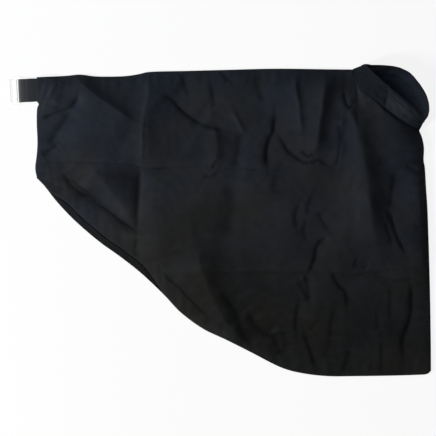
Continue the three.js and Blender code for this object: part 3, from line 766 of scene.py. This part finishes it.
# Each fold: its rise in mm, a valley being negative, the widths in mm to the left and right of its path as
# one walks along it, how rounded its top is, and the pixels that the path passes
FOLDS = [
    (5.0, 9, 13, 1.4, [(63, 77), (58, 92), (53, 108)]),
    (-5.5, 9, 6, 1.05, [(78, 92), (76, 100), (70, 107), (58, 112), (39, 120)]),
    (-6.5, 22, 9, 1.5, [(72, 109), (64, 122), (56, 134), (49, 147)]),
    (2.4, 4, 6, 1.3, [(57, 80), (52, 90), (46, 101), (43, 112)]),
    (1.8, 3, 5, 1.3, [(46, 80), (43, 92), (40, 103)]),
    (-3.0, 13, 4, 1.2, [(58, 143), (50, 150), (41, 154)]),
    (10.0, 12, 46, 1.2, [(70, 73), (90, 91), (100, 99), (112, 107), (125, 117), (136, 124)]),
    (8.0, 40, 12, 1.1,
     [(149, 70), (148, 90), (147, 100), (145, 110), (143.5, 130), (143, 145), (142, 172)]),
    (-1.4, 3, 3, 1.2, [(145.5, 112), (144.5, 130), (144, 150), (143, 166)]),
    (-7.0, 18, 28, 1.15, [(141, 164), (140, 185), (138, 205), (136, 238)]),
    (-1.4, 10, 3.5, 1.2, [(137, 236), (135, 246), (134, 258)]),
    (-1.5, 4, 13, 1.1, [(36, 162), (66, 162), (96, 163), (130, 165), (143, 168), (190, 168)]),
    (-1.2, 4, 11, 1.1, [(222, 169), (240, 169), (262, 170)]),
    (-3.6, 18, 4.5, 1.15, [(161, 93), (170, 98), (178, 106), (192, 118), (205, 125), (230, 131)]),
    (-6.0, 30, 40, 1.8, [(170, 86), (188, 106), (208, 120)]),
    (-2.0, 10, 4, 1.3, [(183, 72), (185, 84), (189, 97)]),
    (-2.0, 10, 4, 1.3, [(211, 82), (213, 96), (214, 110)]),
    (-2.4, 7, 3.5, 1.3, [(219, 70), (225, 76), (230, 82)]),
    (-2.0, 14, 6, 1.4, [(256, 72), (258, 86), (264, 104)]),
    (2.6, 4, 6, 1.3, [(231, 109), (238, 122), (243, 136)]),
    (-3.4, 13, 8, 1.5, [(241, 130), (238, 150), (235, 170)]),
    (4.4, 9, 16, 1.5, [(212, 122), (216, 142), (216, 155), (212, 172)]),
    (-2.2, 6, 3, 1.2, [(217, 160), (212, 169)]),
    (-1.6, 5, 3, 1.2, [(203, 175), (210, 177), (220, 173)]),
    (-4.4, 16, 4, 1.15, [(275, 110), (274, 130), (269, 140), (267, 155), (268, 170)]),
    (-3.6, 16, 4, 1.15,
     [(276, 133), (283, 143), (290, 152), (303, 162), (312, 162), (319, 160), (326, 164), (333, 167)]),
    (-3.2, 9, 4, 1.15, [(339, 120), (340.5, 139), (339, 158), (333, 167)]),
    (-4.5, 24, 16, 1.7, [(235, 180), (231, 210), (227, 240)]),
    (-1.8, 12, 8, 1.6, [(278, 174), (274, 194)]),
    (4.2, 5, 22, 1.3, [(294, 74), (296.5, 95), (298.5, 107), (300, 120), (301.5, 137)]),
    (12.0, 14, 28, 1.35, [(327, 72), (322, 100), (320, 115), (318, 130), (316, 144), (311, 158)]),
    (-2.0, 6, 3, 1.2, [(301, 150), (308, 156), (316, 153)]),
    (4.2, 5, 22, 1.3, [(342, 112), (340, 135), (341, 150), (338, 168)]),
    (13.0, 21, 34, 1.5,
     [(338, 88), (349, 110), (356, 130), (361, 150), (366, 175), (368, 200), (371, 222), (376, 248)]),
    (-1.4, 8, 3, 1.2, [(383, 220), (388, 232), (393, 246)]),
    (-3.2, 16, 4, 1.15, [(387, 210), (394, 228), (399, 240), (406, 254)]),
    (-2.6, 4, 3, 1.2, [(344, 90), (345, 100), (349, 107), (354, 103)]),
    (-1.6, 9, 3.5, 1.2, [(404, 165), (415, 170), (424, 175)]),
    (6.0, 8, 44, 1.3, [(415, 124), (418, 160), (420, 200), (422, 240), (424, 275)]),
    (-2.6, 18, 6, 1.4, [(397, 170), (393, 190), (391, 210)]),
    (-1.4, 9, 3, 1.2, [(45, 189), (67, 190)]),
    (-8.5, 14, 12, 1.3, [(64, 168), (79, 186), (89, 193), (105, 204), (121, 216), (138, 229)]),
    (-3.4, 4, 9, 1.2, [(61, 171), (70, 181), (80, 189), (92, 198)]),
    (-2.2, 3, 5, 1.2, [(96, 202), (110, 211), (124, 222), (136, 231)]),
    (-2.8, 3.5, 10, 1.2, [(139, 167), (138, 190), (136.5, 208), (135, 228)]),
    (-2.0, 9, 4, 1.3, [(38, 186), (52, 190), (66, 189)]),
    (6.5, 32, 18, 1.5, [(84, 158), (99, 176), (113, 194), (125, 210), (135, 226)]),
    (-3.2, 20, 3.5, 1.15, [(162, 270), (172, 281), (181, 289), (190, 299), (198, 307), (211, 318)]),
    (-2.2, 12, 4.5, 1.3, [(300, 202), (296, 215), (297, 229)]),
    (-1.8, 10, 4, 1.3, [(313, 194), (309, 205), (307, 216)]),
    (-1.8, 11, 4, 1.3, [(316, 210), (322, 220), (329, 231)]),
    (-1.6, 11, 4, 1.3, [(307, 219), (304, 230), (308, 241)]),
    (-3.8, 20, 4, 1.15, [(327, 234), (317, 247), (315, 257), (312, 266), (307, 276)]),
    (-1.6, 4, 14, 1.1, [(205, 272), (240, 273), (272, 272), (305, 273), (332, 274)]),
    (-2.0, 11, 4, 1.3, [(297, 278), (303, 290), (310, 302)]),
    (-2.4, 13, 5, 1.3, [(305, 274), (308, 287), (309, 303)]),
    (-2.8, 16, 4, 1.2, [(331, 270), (338, 284), (346, 293), (347, 308)]),
    (14.5, 36, 62, 1.3, [(194, 244), (203, 276), (213, 302), (228, 326), (246, 346)]),
    (-4.6, 20, 10, 1.4, [(221, 288), (228, 300), (236, 312), (243, 333), (250, 347)]),
    (-3.4, 18, 8, 1.4, [(247, 309), (255, 322), (262, 330), (274, 337)]),
    (-2.8, 13, 7, 1.5, [(271, 331), (277, 343), (282, 356)]),
    (-2.0, 11, 5, 1.5, [(283, 329), (287, 348)]),
    (-2.2, 12, 4, 1.3, [(300, 301), (297, 315), (296, 334)]),
    (-2.8, 16, 3.5, 1.15, [(303, 329), (307, 342), (312, 355), (317, 370)]),
    (-1.2, 8, 3.5, 1.3, [(321, 318), (316, 324), (309, 331)]),
    (-2.0, 12, 5, 1.4, [(336, 309), (332, 322), (331, 339)]),
    (-1.6, 13, 6, 1.4, [(330, 337), (326, 359)]),
    (-1.8, 4, 12, 1.1, [(335, 275), (352, 275), (370, 273), (387, 270)]),
    (-1.6, 4, 11, 1.1, [(381, 277), (392, 280), (402, 280), (415, 278)]),
    (-1.4, 9, 3.5, 1.3, [(391, 285), (391, 321)]),
    (-3.4, 20, 4.5, 1.2, [(411, 281), (412, 300), (410, 318), (406, 330), (403, 345), (405, 359)]),
    (-1.5, 10, 4, 1.3, [(377, 312), (377, 331)]),
    (-1.5, 11, 4, 1.3, [(382, 337), (382, 376)]),
    (-2.4, 13, 5, 1.4, [(351, 348), (343, 374)]),
    (-2.2, 12, 8, 1.6, [(352, 263), (369, 268)]),
]


def ease(value, start, end):
    """The smooth step 3t2 - 2t3 from 0 to 1."""
    t = np.clip((value - start) / (end - start), 0, 1)
    return t * t * (3 - 2 * t)


def lerp(first, last, share):
    """The value at a share of the way from the first to the last."""
    return first + (last - first) * share


def near_line(x, y, line):
    """How far each place is from a line, positive on its left, the share of the line's length that it is at,
    and how far it lies past an end of the line, where the line is taken to go straight on."""
    start, step = line[:-1], np.diff(line, axis=0)
    length = np.linalg.norm(step, axis=1)
    travelled = np.concatenate([[0], np.cumsum(length)])
    best = np.full(x.shape, np.inf)
    signed, share, past = np.zeros(x.shape), np.zeros(x.shape), np.zeros(x.shape)
    for k, ((ax, ay), (dx, dy), size, before) in enumerate(zip(start, step, length, travelled)):
        along = ((x - ax) * dx + (y - ay) * dy) / size**2
        kept = np.clip(along, 0, 1)
        away = np.hypot(x - ax - kept * dx, y - ay - kept * dy)
        square = (dx * (y - ay) - dy * (x - ax)) / size
        beyond = ((along < 0) & (k == 0)) | ((along > 1) & (k == len(step) - 1))
        closer = away < best
        best = np.where(closer, away, best)
        signed = np.where(closer, np.where(beyond, square, np.copysign(away, square)), signed)
        share = np.where(closer, (before + kept * size) / travelled[-1], share)
        past = np.where(closer, np.where(beyond, np.abs(along - kept) * size, 0), past)
    return signed, share, past


def fold_height(x, y, rise, left, right, roundness, pixels):
    """A fold: its rise times exp(-(distance / width) ** roundness), each side with its own width. The rise
    fades towards both ends and falls off past them as a bell curve."""
    signed, share, past = near_line(x, y, smooth_line(plan(pixels), FOLD_STEPS))
    width = np.where(signed >= 0, left, right) / 1000
    blunt = np.sqrt(signed**2 + FOLD_BLUNT**2) - FOLD_BLUNT
    kept = lerp(FOLD_END, 1, ease(np.minimum(share, 1 - share), 0, FOLD_TAPER))
    fade = kept * bell(past, 0, (left + right) / 1000 / FOLD_PAST)
    return rise / 1000 * fade * np.exp(-((blunt / width) ** roundness))


def slant(x):
    """How much longer a measure along y is than one square to the lower edge."""
    return np.hypot(1, (low_of(x + SLOPE_STEP) - low_of(x - SLOPE_STEP)) / (2 * SLOPE_STEP))


def band_inset(x):
    """How much of the slanted edge the band takes, along y."""
    present = ease(x, BAND_START, BAND_START + BAND_FADE) * (1 - ease(x, BAND_END - BAND_FADE, BAND_END))
    return BAND_WIDTH * slant(x) * present


def seam_distances(x, y):
    """How far each place is from the strap edge, the far edge, the top seam and the lower edge."""
    return [
        np.maximum(0, x - left_of(y)),
        np.hypot(np.maximum(0, right_of(y) - x), np.maximum(0, y - neck_end[1])),
        np.hypot(top_of(np.minimum(x, TOP_LENGTH)) - y, np.maximum(0, x - TOP_LENGTH)),
        np.maximum(0, y - low_of(x) - band_inset(x)) / slant(x),
    ]


def panel_height(x, y):
    """The outside of the upper panel: a quarter round at the seam, the loft that rises from it, and the
    folds, swells, ridges and puckers, which fade out close to the seam."""
    away = seam_distances(x, y)
    nearest = np.minimum.reduce(away)
    loft = np.prod([1 - np.exp(-d / roll) for d, roll in zip(away, ROLLS)], axis=0)
    kept = np.prod([1 - np.exp(-d / CREASE_FADE) for d in away], axis=0)
    corner = SEAM_ROUND * np.sqrt(1 - (1 - np.clip(nearest / SEAM_ROUND, 0, 1)) ** 2)
    bent_x = x + WANDER * lattice(x, y, WANDER_SIZE, seed=11)
    bent_y = y + WANDER * lattice(x, y, WANDER_SIZE, seed=12)
    folds = sum(fold_height(bent_x, bent_y, *fold) for fold in FOLDS)
    swells = sum(rise * lattice(x, y, size, seed) for rise, size, seed in SWELLS)
    ridges = RIDGE_RISE * (0.5 - np.abs(lattice(bent_x, bent_y, RIDGE_SIZE, seed=23)))
    puckers = 0
    for seed, (d, along) in enumerate(zip(away, (y, y, x, x)), start=PUCKER_SEED):
        wave = lattice(along, d * PUCKER_STRETCH, PUCKER_SIZE, seed)
        puckers = puckers + PUCKER_RISE * wave * bell(d, PUCKER_MIDDLE, PUCKER_HALF)
    beyond = STRAP_TUCK + LIFT_LEVEL
    below = STRAP_MIDDLE + WEBBING_WIDTH / 2 + LIFT_LEVEL
    lift = STRAP_LIFT * (1 - ease(x, beyond, beyond + LIFT_FALL)) * (1 - ease(-y, below, below + LIFT_FALL))
    height = LOFT * loft + kept * (folds + swells + ridges + puckers)
    return SEAM_FOOT + corner + lift + np.maximum(height, LEAST_RISE * kept)


def upper_surface():
    """The grid of the upper panel, whose last rows rise to the arch of the neck as a bell curve, and the
    share of painted shade that each place beside the neck gets."""
    along, across = spread(UPPER_COLUMNS, BODY_LENGTH), spread(UPPER_ROWS, MEAN_WIDTH)
    places = bag_plan(along, across, NECK_ARCH * math.sin(NECK_LEAN))
    level_y = bag_plan(along, across)[..., 1]
    inward = level_y[:, -1:] - level_y
    x = places[..., 0]
    y = places[..., 1] + band_inset(x[:, 0])[:, None] * (1 - across[None])
    z = panel_height(x, y)
    share = np.clip((along * BODY_LENGTH - TOP_LENGTH) / (BODY_LENGTH - TOP_LENGTH), 0, 1)
    arch = SEAM_FOOT + CLOTH + NECK_ARCH * math.cos(NECK_LEAN) * (1 - (2 * share - 1) ** 2)
    missing = np.where(share > 0, arch - z[:, -1], 0)
    apart = (along[:, None] - along[None]) * BODY_LENGTH
    spreading = [bell(apart, 0, NECK_FOCUS + NECK_SPREAD * d) for d in inward.mean(axis=0)]
    rise = np.stack([(near @ missing) / near.sum(axis=1) for near in spreading], axis=1)
    z = z + rise * bell(inward, 0, NECK_BLEND)
    sunk = SEAM_SINK * np.sin(share * math.pi) * lerp(SINK_LEAST, 1, ease(share, *SINK_GROWS))
    z = z - sunk[:, None] * np.exp(-inward / SINK_FADE)
    neck_shade_spread = np.sin(math.pi * np.clip(share / NECK_SHADE_TO, 0, 1))[:, None]
    return np.stack([x, y, z], axis=-1), bell(inward, 0, NECK_SHADE_REACH) * neck_shade_spread


def standing_out(z, reach):
    """How far each point stands above the mean of the four points that lie a few steps away."""
    padded = np.pad(z, reach, mode="edge")
    middle = slice(reach, -reach)
    beside = padded[: -2 * reach, middle] + padded[2 * reach :, middle]
    return z - (beside + padded[middle, : -2 * reach] + padded[middle, 2 * reach :]) / 4


def on_outer(values):
    """Shares for the points of a cloth shell: the given ones on its outer grid and none on its inner one."""
    return np.concatenate([values.ravel(), np.zeros(values[::2, ::2].size)])


upper_grid, neck_shade = upper_surface()
wear = np.clip(standing_out(upper_grid[..., 2], reach=3) / WEAR_HEIGHT, 0, WEAR_MOST)
# Painted shade: darker where a point lies below its neighbours in a crease, and beside the neck
painted_shade = NECK_SHADE * neck_shade - standing_out(upper_grid[..., 2], reach=2) / CREASE_SHADE_DEPTH

# Each spot of painted shade: the pixels of its middle, its half width and half height in pixels, and its share
# of painted shade
SHADED_SPOTS = [
    (258, 334, 30, 24, 0.85), (232, 306, 12, 20, 0.5), (86, 194, 13, 8, 0.8), (134, 195, 6, 30, 0.5),
    (115, 178, 22, 10, 0.35), (160, 118, 14, 22, 0.25), (178, 292, 22, 22, 0.35), (95, 172, 40, 8, 0.25),
]
for across, down, half_width, half_height, share in SHADED_SPOTS:
    away = (upper_grid[..., :2] - plan([(across, down)])[0]) / METRES_PER_PIXEL
    painted_shade = painted_shade + share * bell(away[..., 0], 0, half_width) * bell(away[..., 1], 0, half_height)

points, faces = cloth_shell(upper_grid, CLOTH)
upper_panel = add_piece("upper_panel_cloth", points, faces, points[:, :2], bag_cloth)
set_share(upper_panel, "crest", on_outer(wear))
set_share(upper_panel, "painted_shade", on_outer(np.clip(painted_shade, 0, 1)))
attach(upper_panel, "root")
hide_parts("upper_panel")


# Edge band: a narrow strip of the cloth, turned under and sewn along the slanted edge of the bag.
# It lies on the lower panel beside the edge of the upper one.
BAND_COLUMNS = 161
BAND_ROWS = 25
BAND_TRIALS = 800
BAND_LEAST = 0.003
BAND_GAP = 0.0006
BAND_FOOT = 0.0009
BAND_RISE = 0.00105
BAND_WALL = 0.0008
BAND_STITCH = 0.0095
BAND_DOME = 6  # the power of its arch, high so that it is flat with round borders
BAND_PUCKER = 0.00035
BAND_WAVE = 0.0052
BAND_UNEVEN = 0.03


def band_surface():
    """A strip between the lower edge and its inset: its top is the root of 1 less a high power of the share
    of its half width, with small waves along it."""
    trial = np.linspace(0, BAND_END, BAND_TRIALS)
    x = np.linspace(*trial[band_inset(trial) > BAND_LEAST][[0, -1]], BAND_COLUMNS)[:, None]
    across = (1 - np.cos(np.linspace(0, math.pi, BAND_ROWS))) / 2
    y = low_of(x) + across * (band_inset(x) - BAND_GAP)
    dome = np.sqrt(np.clip(1 - (2 * across - 1) ** BAND_DOME, 0, 1))
    pucker = BAND_PUCKER * np.sin(x / BAND_WAVE + 2 * lattice(x, y * 0, BAND_UNEVEN, seed=41))
    z = CLOTH + BAND_FOOT + dome * (BAND_RISE + pucker * np.sin(across * math.pi))
    along = np.concatenate([[0], np.cumsum(np.hypot(np.diff(x[:, 0]), np.diff(low_of(x[:, 0]))))])[:, None]
    grid = np.stack(np.broadcast_arrays(x, y, z), axis=-1)
    return grid, np.stack(np.broadcast_arrays(along, across * BAND_WIDTH), axis=-1)


band_cloth = cloth_material(
    "band_cloth", (0.0130, 0.0130, 0.0134), (0.0098, 0.0098, 0.0101), thread=0.0006, sheen=0.03,
    rows=[BAND_STITCH],
)
band_grid, band_uv = band_surface()
points, faces = cloth_shell(band_grid, BAND_WALL)
band_uv = np.concatenate([band_uv.reshape(-1, 2), band_uv[::2, ::2].reshape(-1, 2)])
edge_band = add_piece("edge_band_cloth", points, faces, band_uv, band_cloth)
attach(edge_band, "root")
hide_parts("edge_band")


# Collar: a short sleeve of the cloth sewn round the neck, with a turned and stitched hem at its mouth.
# The mouth stands open and faces upwards, its far lip lying on the ground.
COLLAR_AROUND = 141
COLLAR_STATIONS = 64
COLLAR_REACH = 0.018
COLLAR_SHIFT = 0.002
MOUTH_WIDTH = 0.133
MOUTH_END = 0.014
LIP_RISE = 0.031
LIP_LEAN = math.radians(4)
LIP_SWELL = (0.0030, 0.32, 0.18)  # how far out, at which share of the near half and over which
LIP_STEPS = 8
FAR_LIP_REACH = 0.040
PINCH = 2.6
HEM_DEPTH = 0.014
HEM_THICKNESS = 0.0026
HEM_STEP = 0.04
LIP_PARTING = 0.4
PARTING_FADE = 4
COLLAR_GAP = 0.0003
RIM_HEIGHT = 0.00255
RIM_SETTLE = 0.00075
GROUND_GAP = 0.0001
COLLAR_LENGTH = math.hypot(COLLAR_REACH, LIP_RISE + MOUTH_END)
HEM_FROM = 1 - HEM_DEPTH / COLLAR_LENGTH
COLLAR_SEAMS = [0.0035, COLLAR_LENGTH - HEM_DEPTH]
DRAWN_FADE = 0.0040
DRAWN_SWELL = (0.0014, 0.22, 0.12)  # rise, and the middle and half width along the sleeve
COLLAR_WAVES = (0.0011, 9, 0.8, 51)  # rise, lumps around and along, and seed
COLLAR_DENTS = ((0.0020, 3.2, 1.3, 52), (0.0010, 14, 5, 53))
WAVE_FADE = 0.45
CREASE_DEPTH = 0.0030
CREASE_PLACE = (0.455, 0.575)  # shares of the near half, at the neck and at the lip
CREASE_HALF = 0.022
CREASE_POWER = 1.3
BULGE = (0.0040, 0.26, 0.13)  # rise, and the middle and half width around the near half
GROOVE_DEPTH = 0.0007
GROOVE_HALF = 0.018
SOFT_FROM = 0.15  # share of the sleeve over which the waves and dents set in
CREASE_FROM = 0.2
CREASE_LEFT = 0.4  # share of the crease that is left at the lip
ENDS_FADE = 0.4
# Painted light inside the collar's mouth: where along the sleeve it sets in, how pale the near half gets
# against the far half, and where around it grows
LIT_INSIDE_DEPTH = (0.35, 0.9)
LIT_INSIDE_NEAR = 0.35  # how much paler the near half's lining gets, against the far half's
LIT_INSIDE_FAR = (1.25, 1.6)
# Painted highlight where the collar puffs out: how pale at most, where around the ring, and where it fades
PUFF_HIGHLIGHT_MOST = 0.8
PUFF_HIGHLIGHT_PLACE = (0.36, 0.19)
PUFF_HIGHLIGHT_ENDS = ((0.42, 0.51), (0.48, 0.65))  # where it starts and ends to fade, at the neck and at the lip
along_sleeve = np.linspace(0, 1, COLLAR_STATIONS)[:, None]
around_half = np.linspace(0, 1, COLLAR_AROUND)
around_ring = np.concatenate([around_half, 1 + around_half])


def collar_surface():
    """Rings from the neck to the lip, and the wall at each. The near half of a ring is a parabola at the neck
    and half a circle at the lip, leaning back. The far half lies flat at the neck and spreads out over the
    ground at the lip."""
    share, deep, v = along_sleeve, along_sleeve[..., None], around_half[None]
    along, out, up = np.array([*neck_along, 0]), np.array([*neck_out, 0]), np.array([0, 0, 1])
    wall = lerp(CLOTH, HEM_THICKNESS, ease(share, HEM_FROM, HEM_FROM + HEM_STEP))
    half = lerp(NECK_WIDTH, MOUTH_WIDTH, share) / 2
    seam_drop = (RIM_HEIGHT - RIM_SETTLE) * (1 - share)
    middle = np.array([*((neck_start + neck_end) / 2), 0])
    centre = middle + along * COLLAR_SHIFT * deep + out * (COLLAR_GAP + COLLAR_REACH * deep)
    centre = centre + up * (wall / 2 + seam_drop + MOUTH_END * share)[..., None]
    sag = -out * neck_back(1 - v, NECK_ARCH * math.sin(NECK_LEAN))[..., None]
    neck_top = sag + up * NECK_ARCH * math.cos(NECK_LEAN) * (1 - (1 - 2 * v) ** 2)[..., None]
    lip_up = up * math.cos(LIP_LEAN) - out * math.sin(LIP_LEAN)
    lip_top = lip_up * LIP_RISE * np.sin(math.pi * v)[..., None]
    over = half * lerp(1 - 2 * v, np.cos(math.pi * v), share)
    swell = LIP_SWELL[0] * share * bell(v, *LIP_SWELL[1:])
    upper = centre + along * over[..., None] + lerp(neck_top, lip_top, deep) + out * swell[..., None]
    under = -over
    power = lerp(PINCH, 1, ease(under, -half / 2, half / 2))
    fall = np.clip(np.sin(math.pi * (1 - v)), 0, 1) ** power
    spread_out = (out * FAR_LIP_REACH - up * MOUTH_END) * deep
    lower = centre + along * under[..., None] + spread_out * fall[..., None]
    at_ends = np.where(share < 1, 1, np.minimum(1, PARTING_FADE * (1 - fall)))
    parted = (seam_drop + wall * share * LIP_PARTING) * at_ends
    lower[..., 2] = np.maximum(lower[..., 2] - parted, wall / 2)
    return np.concatenate([upper, lower], axis=1), wall


def ring_outward(grid):
    """The direction square to a grid of rings, away from the sleeve's inside."""
    around = np.roll(grid, -1, axis=1) - np.roll(grid, 1, axis=1)
    return unit(np.cross(np.gradient(grid, axis=0), around))


def collar_folds(share, turn):
    """How far the collar's cloth stands out: drawn in at the seam, gathered from it in fading waves, soft
    dents, a sharp crease with a bulge beside it on the near half, and a groove where the hem is sewn."""
    drawn = DRAWN_SWELL[0] * bell(share, *DRAWN_SWELL[1:])
    drawn = drawn - SEAM_SINK * np.exp(-share * COLLAR_LENGTH / DRAWN_FADE)
    drawn = drawn * lerp(SINK_LEAST, 1, ease(1 - turn, *SINK_GROWS))
    near = (turn < 1) * np.sin(np.clip(turn, 0, 1) * math.pi)
    waves, *dents = (
        rise * lattice(turn * around, share * along, 1.0, seed)
        for rise, around, along, seed in (COLLAR_WAVES, *COLLAR_DENTS)
    )
    soft = (waves * np.exp(-share / WAVE_FADE) + sum(dents)) * ease(share, 0, SOFT_FROM)
    off_crease = np.abs((turn - lerp(*CREASE_PLACE, share)) / CREASE_HALF)
    crease = -CREASE_DEPTH * np.exp(-(off_crease**CREASE_POWER)) * ease(share, 0, CREASE_FROM)
    crease = crease * lerp(1, CREASE_LEFT, share)
    bulge = BULGE[0] * bell(turn, *BULGE[1:]) * np.sin(share * math.pi)
    groove = -GROOVE_DEPTH * bell(share, HEM_FROM, GROOVE_HALF)
    from_ends = ease(np.abs(np.sin(math.pi * turn)), 0, ENDS_FADE)
    return (drawn + crease + bulge) * near + (soft + groove) * from_ends


def collar_shell():
    """Both skins of the collar, half a wall to each side of its middle, joined by half a circle at the lip."""
    grid, wall = collar_surface()
    grid = grid + ring_outward(grid) * collar_folds(along_sleeve, around_ring[None])[..., None]
    grid[..., 2] = np.maximum(grid[..., 2], wall / 2)
    normal = ring_outward(grid)
    away = unit(np.gradient(grid, axis=0))[-1]
    outer = grid + normal * wall[..., None] / 2
    inner = grid - normal * wall[..., None] / 2
    angles = np.linspace(0, math.pi, LIP_STEPS)[1:-1, None, None]
    lip = grid[-1] + (normal[-1] * np.cos(angles) + away * np.sin(angles)) * HEM_THICKNESS / 2
    rows = np.concatenate([outer, lip, inner[::-1]])
    rows[..., 2] = np.maximum(rows[..., 2], GROUND_GAP)
    around = np.linalg.norm(np.roll(grid, -1, axis=1) - grid, axis=-1).mean(axis=0)
    along = np.linspace(0, 2 * COLLAR_LENGTH, len(rows))[:, None]
    return rows, np.stack(np.broadcast_arrays(np.cumsum(around)[None], along), axis=-1)


collar_rows, collar_uv = collar_shell()
# Painted shade: the collar's cloth is a darker copy of the bag's cloth, standing in for shade on the collar
collar_cloth = cloth_material(
    "collar_cloth", (0.0052, 0.0062, 0.0075), (0.0038, 0.0046, 0.0056), thread=0.0007, sheen=0.006,
    rows=COLLAR_SEAMS,
)
collar_faces = tube_faces(*collar_rows.shape[:2], ring=True)
collar = add_piece(
    "collar_cloth", collar_rows.reshape(-1, 3), collar_faces, collar_uv.reshape(-1, 2), collar_cloth
)

# Painted light: the inside shows pale within the mouth, most of all on the far half. Painted highlight: the
# near half's outside is paler where it puffs out, up to its crease
lit_inside = np.zeros(len(collar_rows))
lit_inside[-COLLAR_STATIONS:] = ease(along_sleeve[::-1, 0], *LIT_INSIDE_DEPTH)
set_share(collar, "inside", np.outer(lit_inside, lerp(LIT_INSIDE_NEAR, 1, ease(around_ring, *LIT_INSIDE_FAR))))
fade_from, fade_to = (lerp(*ends, along_sleeve) for ends in PUFF_HIGHLIGHT_ENDS)
puff_highlight = np.sin(math.pi * along_sleeve) ** 0.8 * bell(around_ring, *PUFF_HIGHLIGHT_PLACE)
# Painted highlight on the puff, kept in the crest attribute
rubbed = np.zeros(collar_rows.shape[:2])
rubbed[:COLLAR_STATIONS] = PUFF_HIGHLIGHT_MOST * puff_highlight * (1 - ease(around_ring, fade_from, fade_to))
set_share(collar, "crest", rubbed)
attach(collar, "root")
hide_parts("collar")


# Floor: a wide plain white surface that keeps the bag's faint shadow.
# The camera sees it mostly glowing, so that it is plain white out to its edges.
FLOOR_SIZE = 6.0
FLOOR_GLOW = 0.86


def seen_rays(tree):
    """One for rays from the camera or off or through a shiny piece, and none for the others."""
    rays = add_node(tree, "ShaderNodeLightPath").outputs
    passed_on = add_math(tree, "MAXIMUM", rays["Is Glossy Ray"], rays["Is Transmission Ray"])
    return add_math(tree, "MAXIMUM", rays["Is Camera Ray"], passed_on)


bpy.ops.mesh.primitive_plane_add(size=FLOOR_SIZE, location=(0, 0, 0))
floor = bpy.context.object
floor.name = "floor"
floor_paint = bpy.data.materials.new("floor_paint")
floor_paint.use_nodes = True
tree = floor_paint.node_tree
tree.nodes.clear()
plain = add_node(tree, "ShaderNodeBsdfDiffuse", {"Color": (0.86, 0.86, 0.86, 1)}).outputs[0]
glow = add_node(tree, "ShaderNodeEmission", {"Color": (1, 1, 1, 1), "Strength": 1.0}).outputs[0]
glow_share = add_math(tree, "MULTIPLY", seen_rays(tree), FLOOR_GLOW)
mixed = add_node(tree, "ShaderNodeMixShader", {0: glow_share, 1: plain, 2: glow}).outputs[0]
tree.links.new(mixed, add_node(tree, "ShaderNodeOutputMaterial").inputs[0])
floor.data.materials.append(floor_paint)


# Light: one soft lamp low on the strap side, a weak one from beyond the top seam, and a pale room.
# Each lamp has its azimuth and elevation in degrees, distance, size, power and colour.
ROOM_LIGHT = 0.10
LAMPS = [
    ("key", 200, 29, 3.0, 0.6, 118.0, (1.0, 0.99, 0.98)),
    ("fill", 112, 42, 1.4, 0.9, 5.0, (0.84, 0.92, 1.0)),
]
bag_middle = Vector((0.0, 0.0, 0.01))
for name, azimuth, elevation, distance, size, power, colour in LAMPS:
    lamp = bpy.data.objects.new(name, bpy.data.lights.new(name, "AREA"))
    lamp.data.shape = "DISK"
    lamp.data.size = size
    lamp.data.energy = power
    lamp.data.color = colour
    turn, tilt = math.radians(azimuth), math.radians(elevation)
    toward = Vector((math.cos(tilt) * math.cos(turn), math.cos(tilt) * math.sin(turn), math.sin(tilt)))
    lamp.location = bag_middle + toward * distance
    lamp.rotation_euler = toward.to_track_quat("Z", "Y").to_euler()
    bpy.context.collection.objects.link(lamp)

world = bpy.data.worlds.new("room")
bpy.context.scene.world = world
world.use_nodes = True
background = world.node_tree.nodes["Background"]
strength = add_math(world.node_tree, "MAXIMUM", seen_rays(world.node_tree), ROOM_LIGHT)
world.node_tree.links.new(strength, background.inputs["Strength"])
background.inputs["Color"].default_value = (1, 1, 1, 1)
bpy.context.scene.view_settings.view_transform = "Standard"
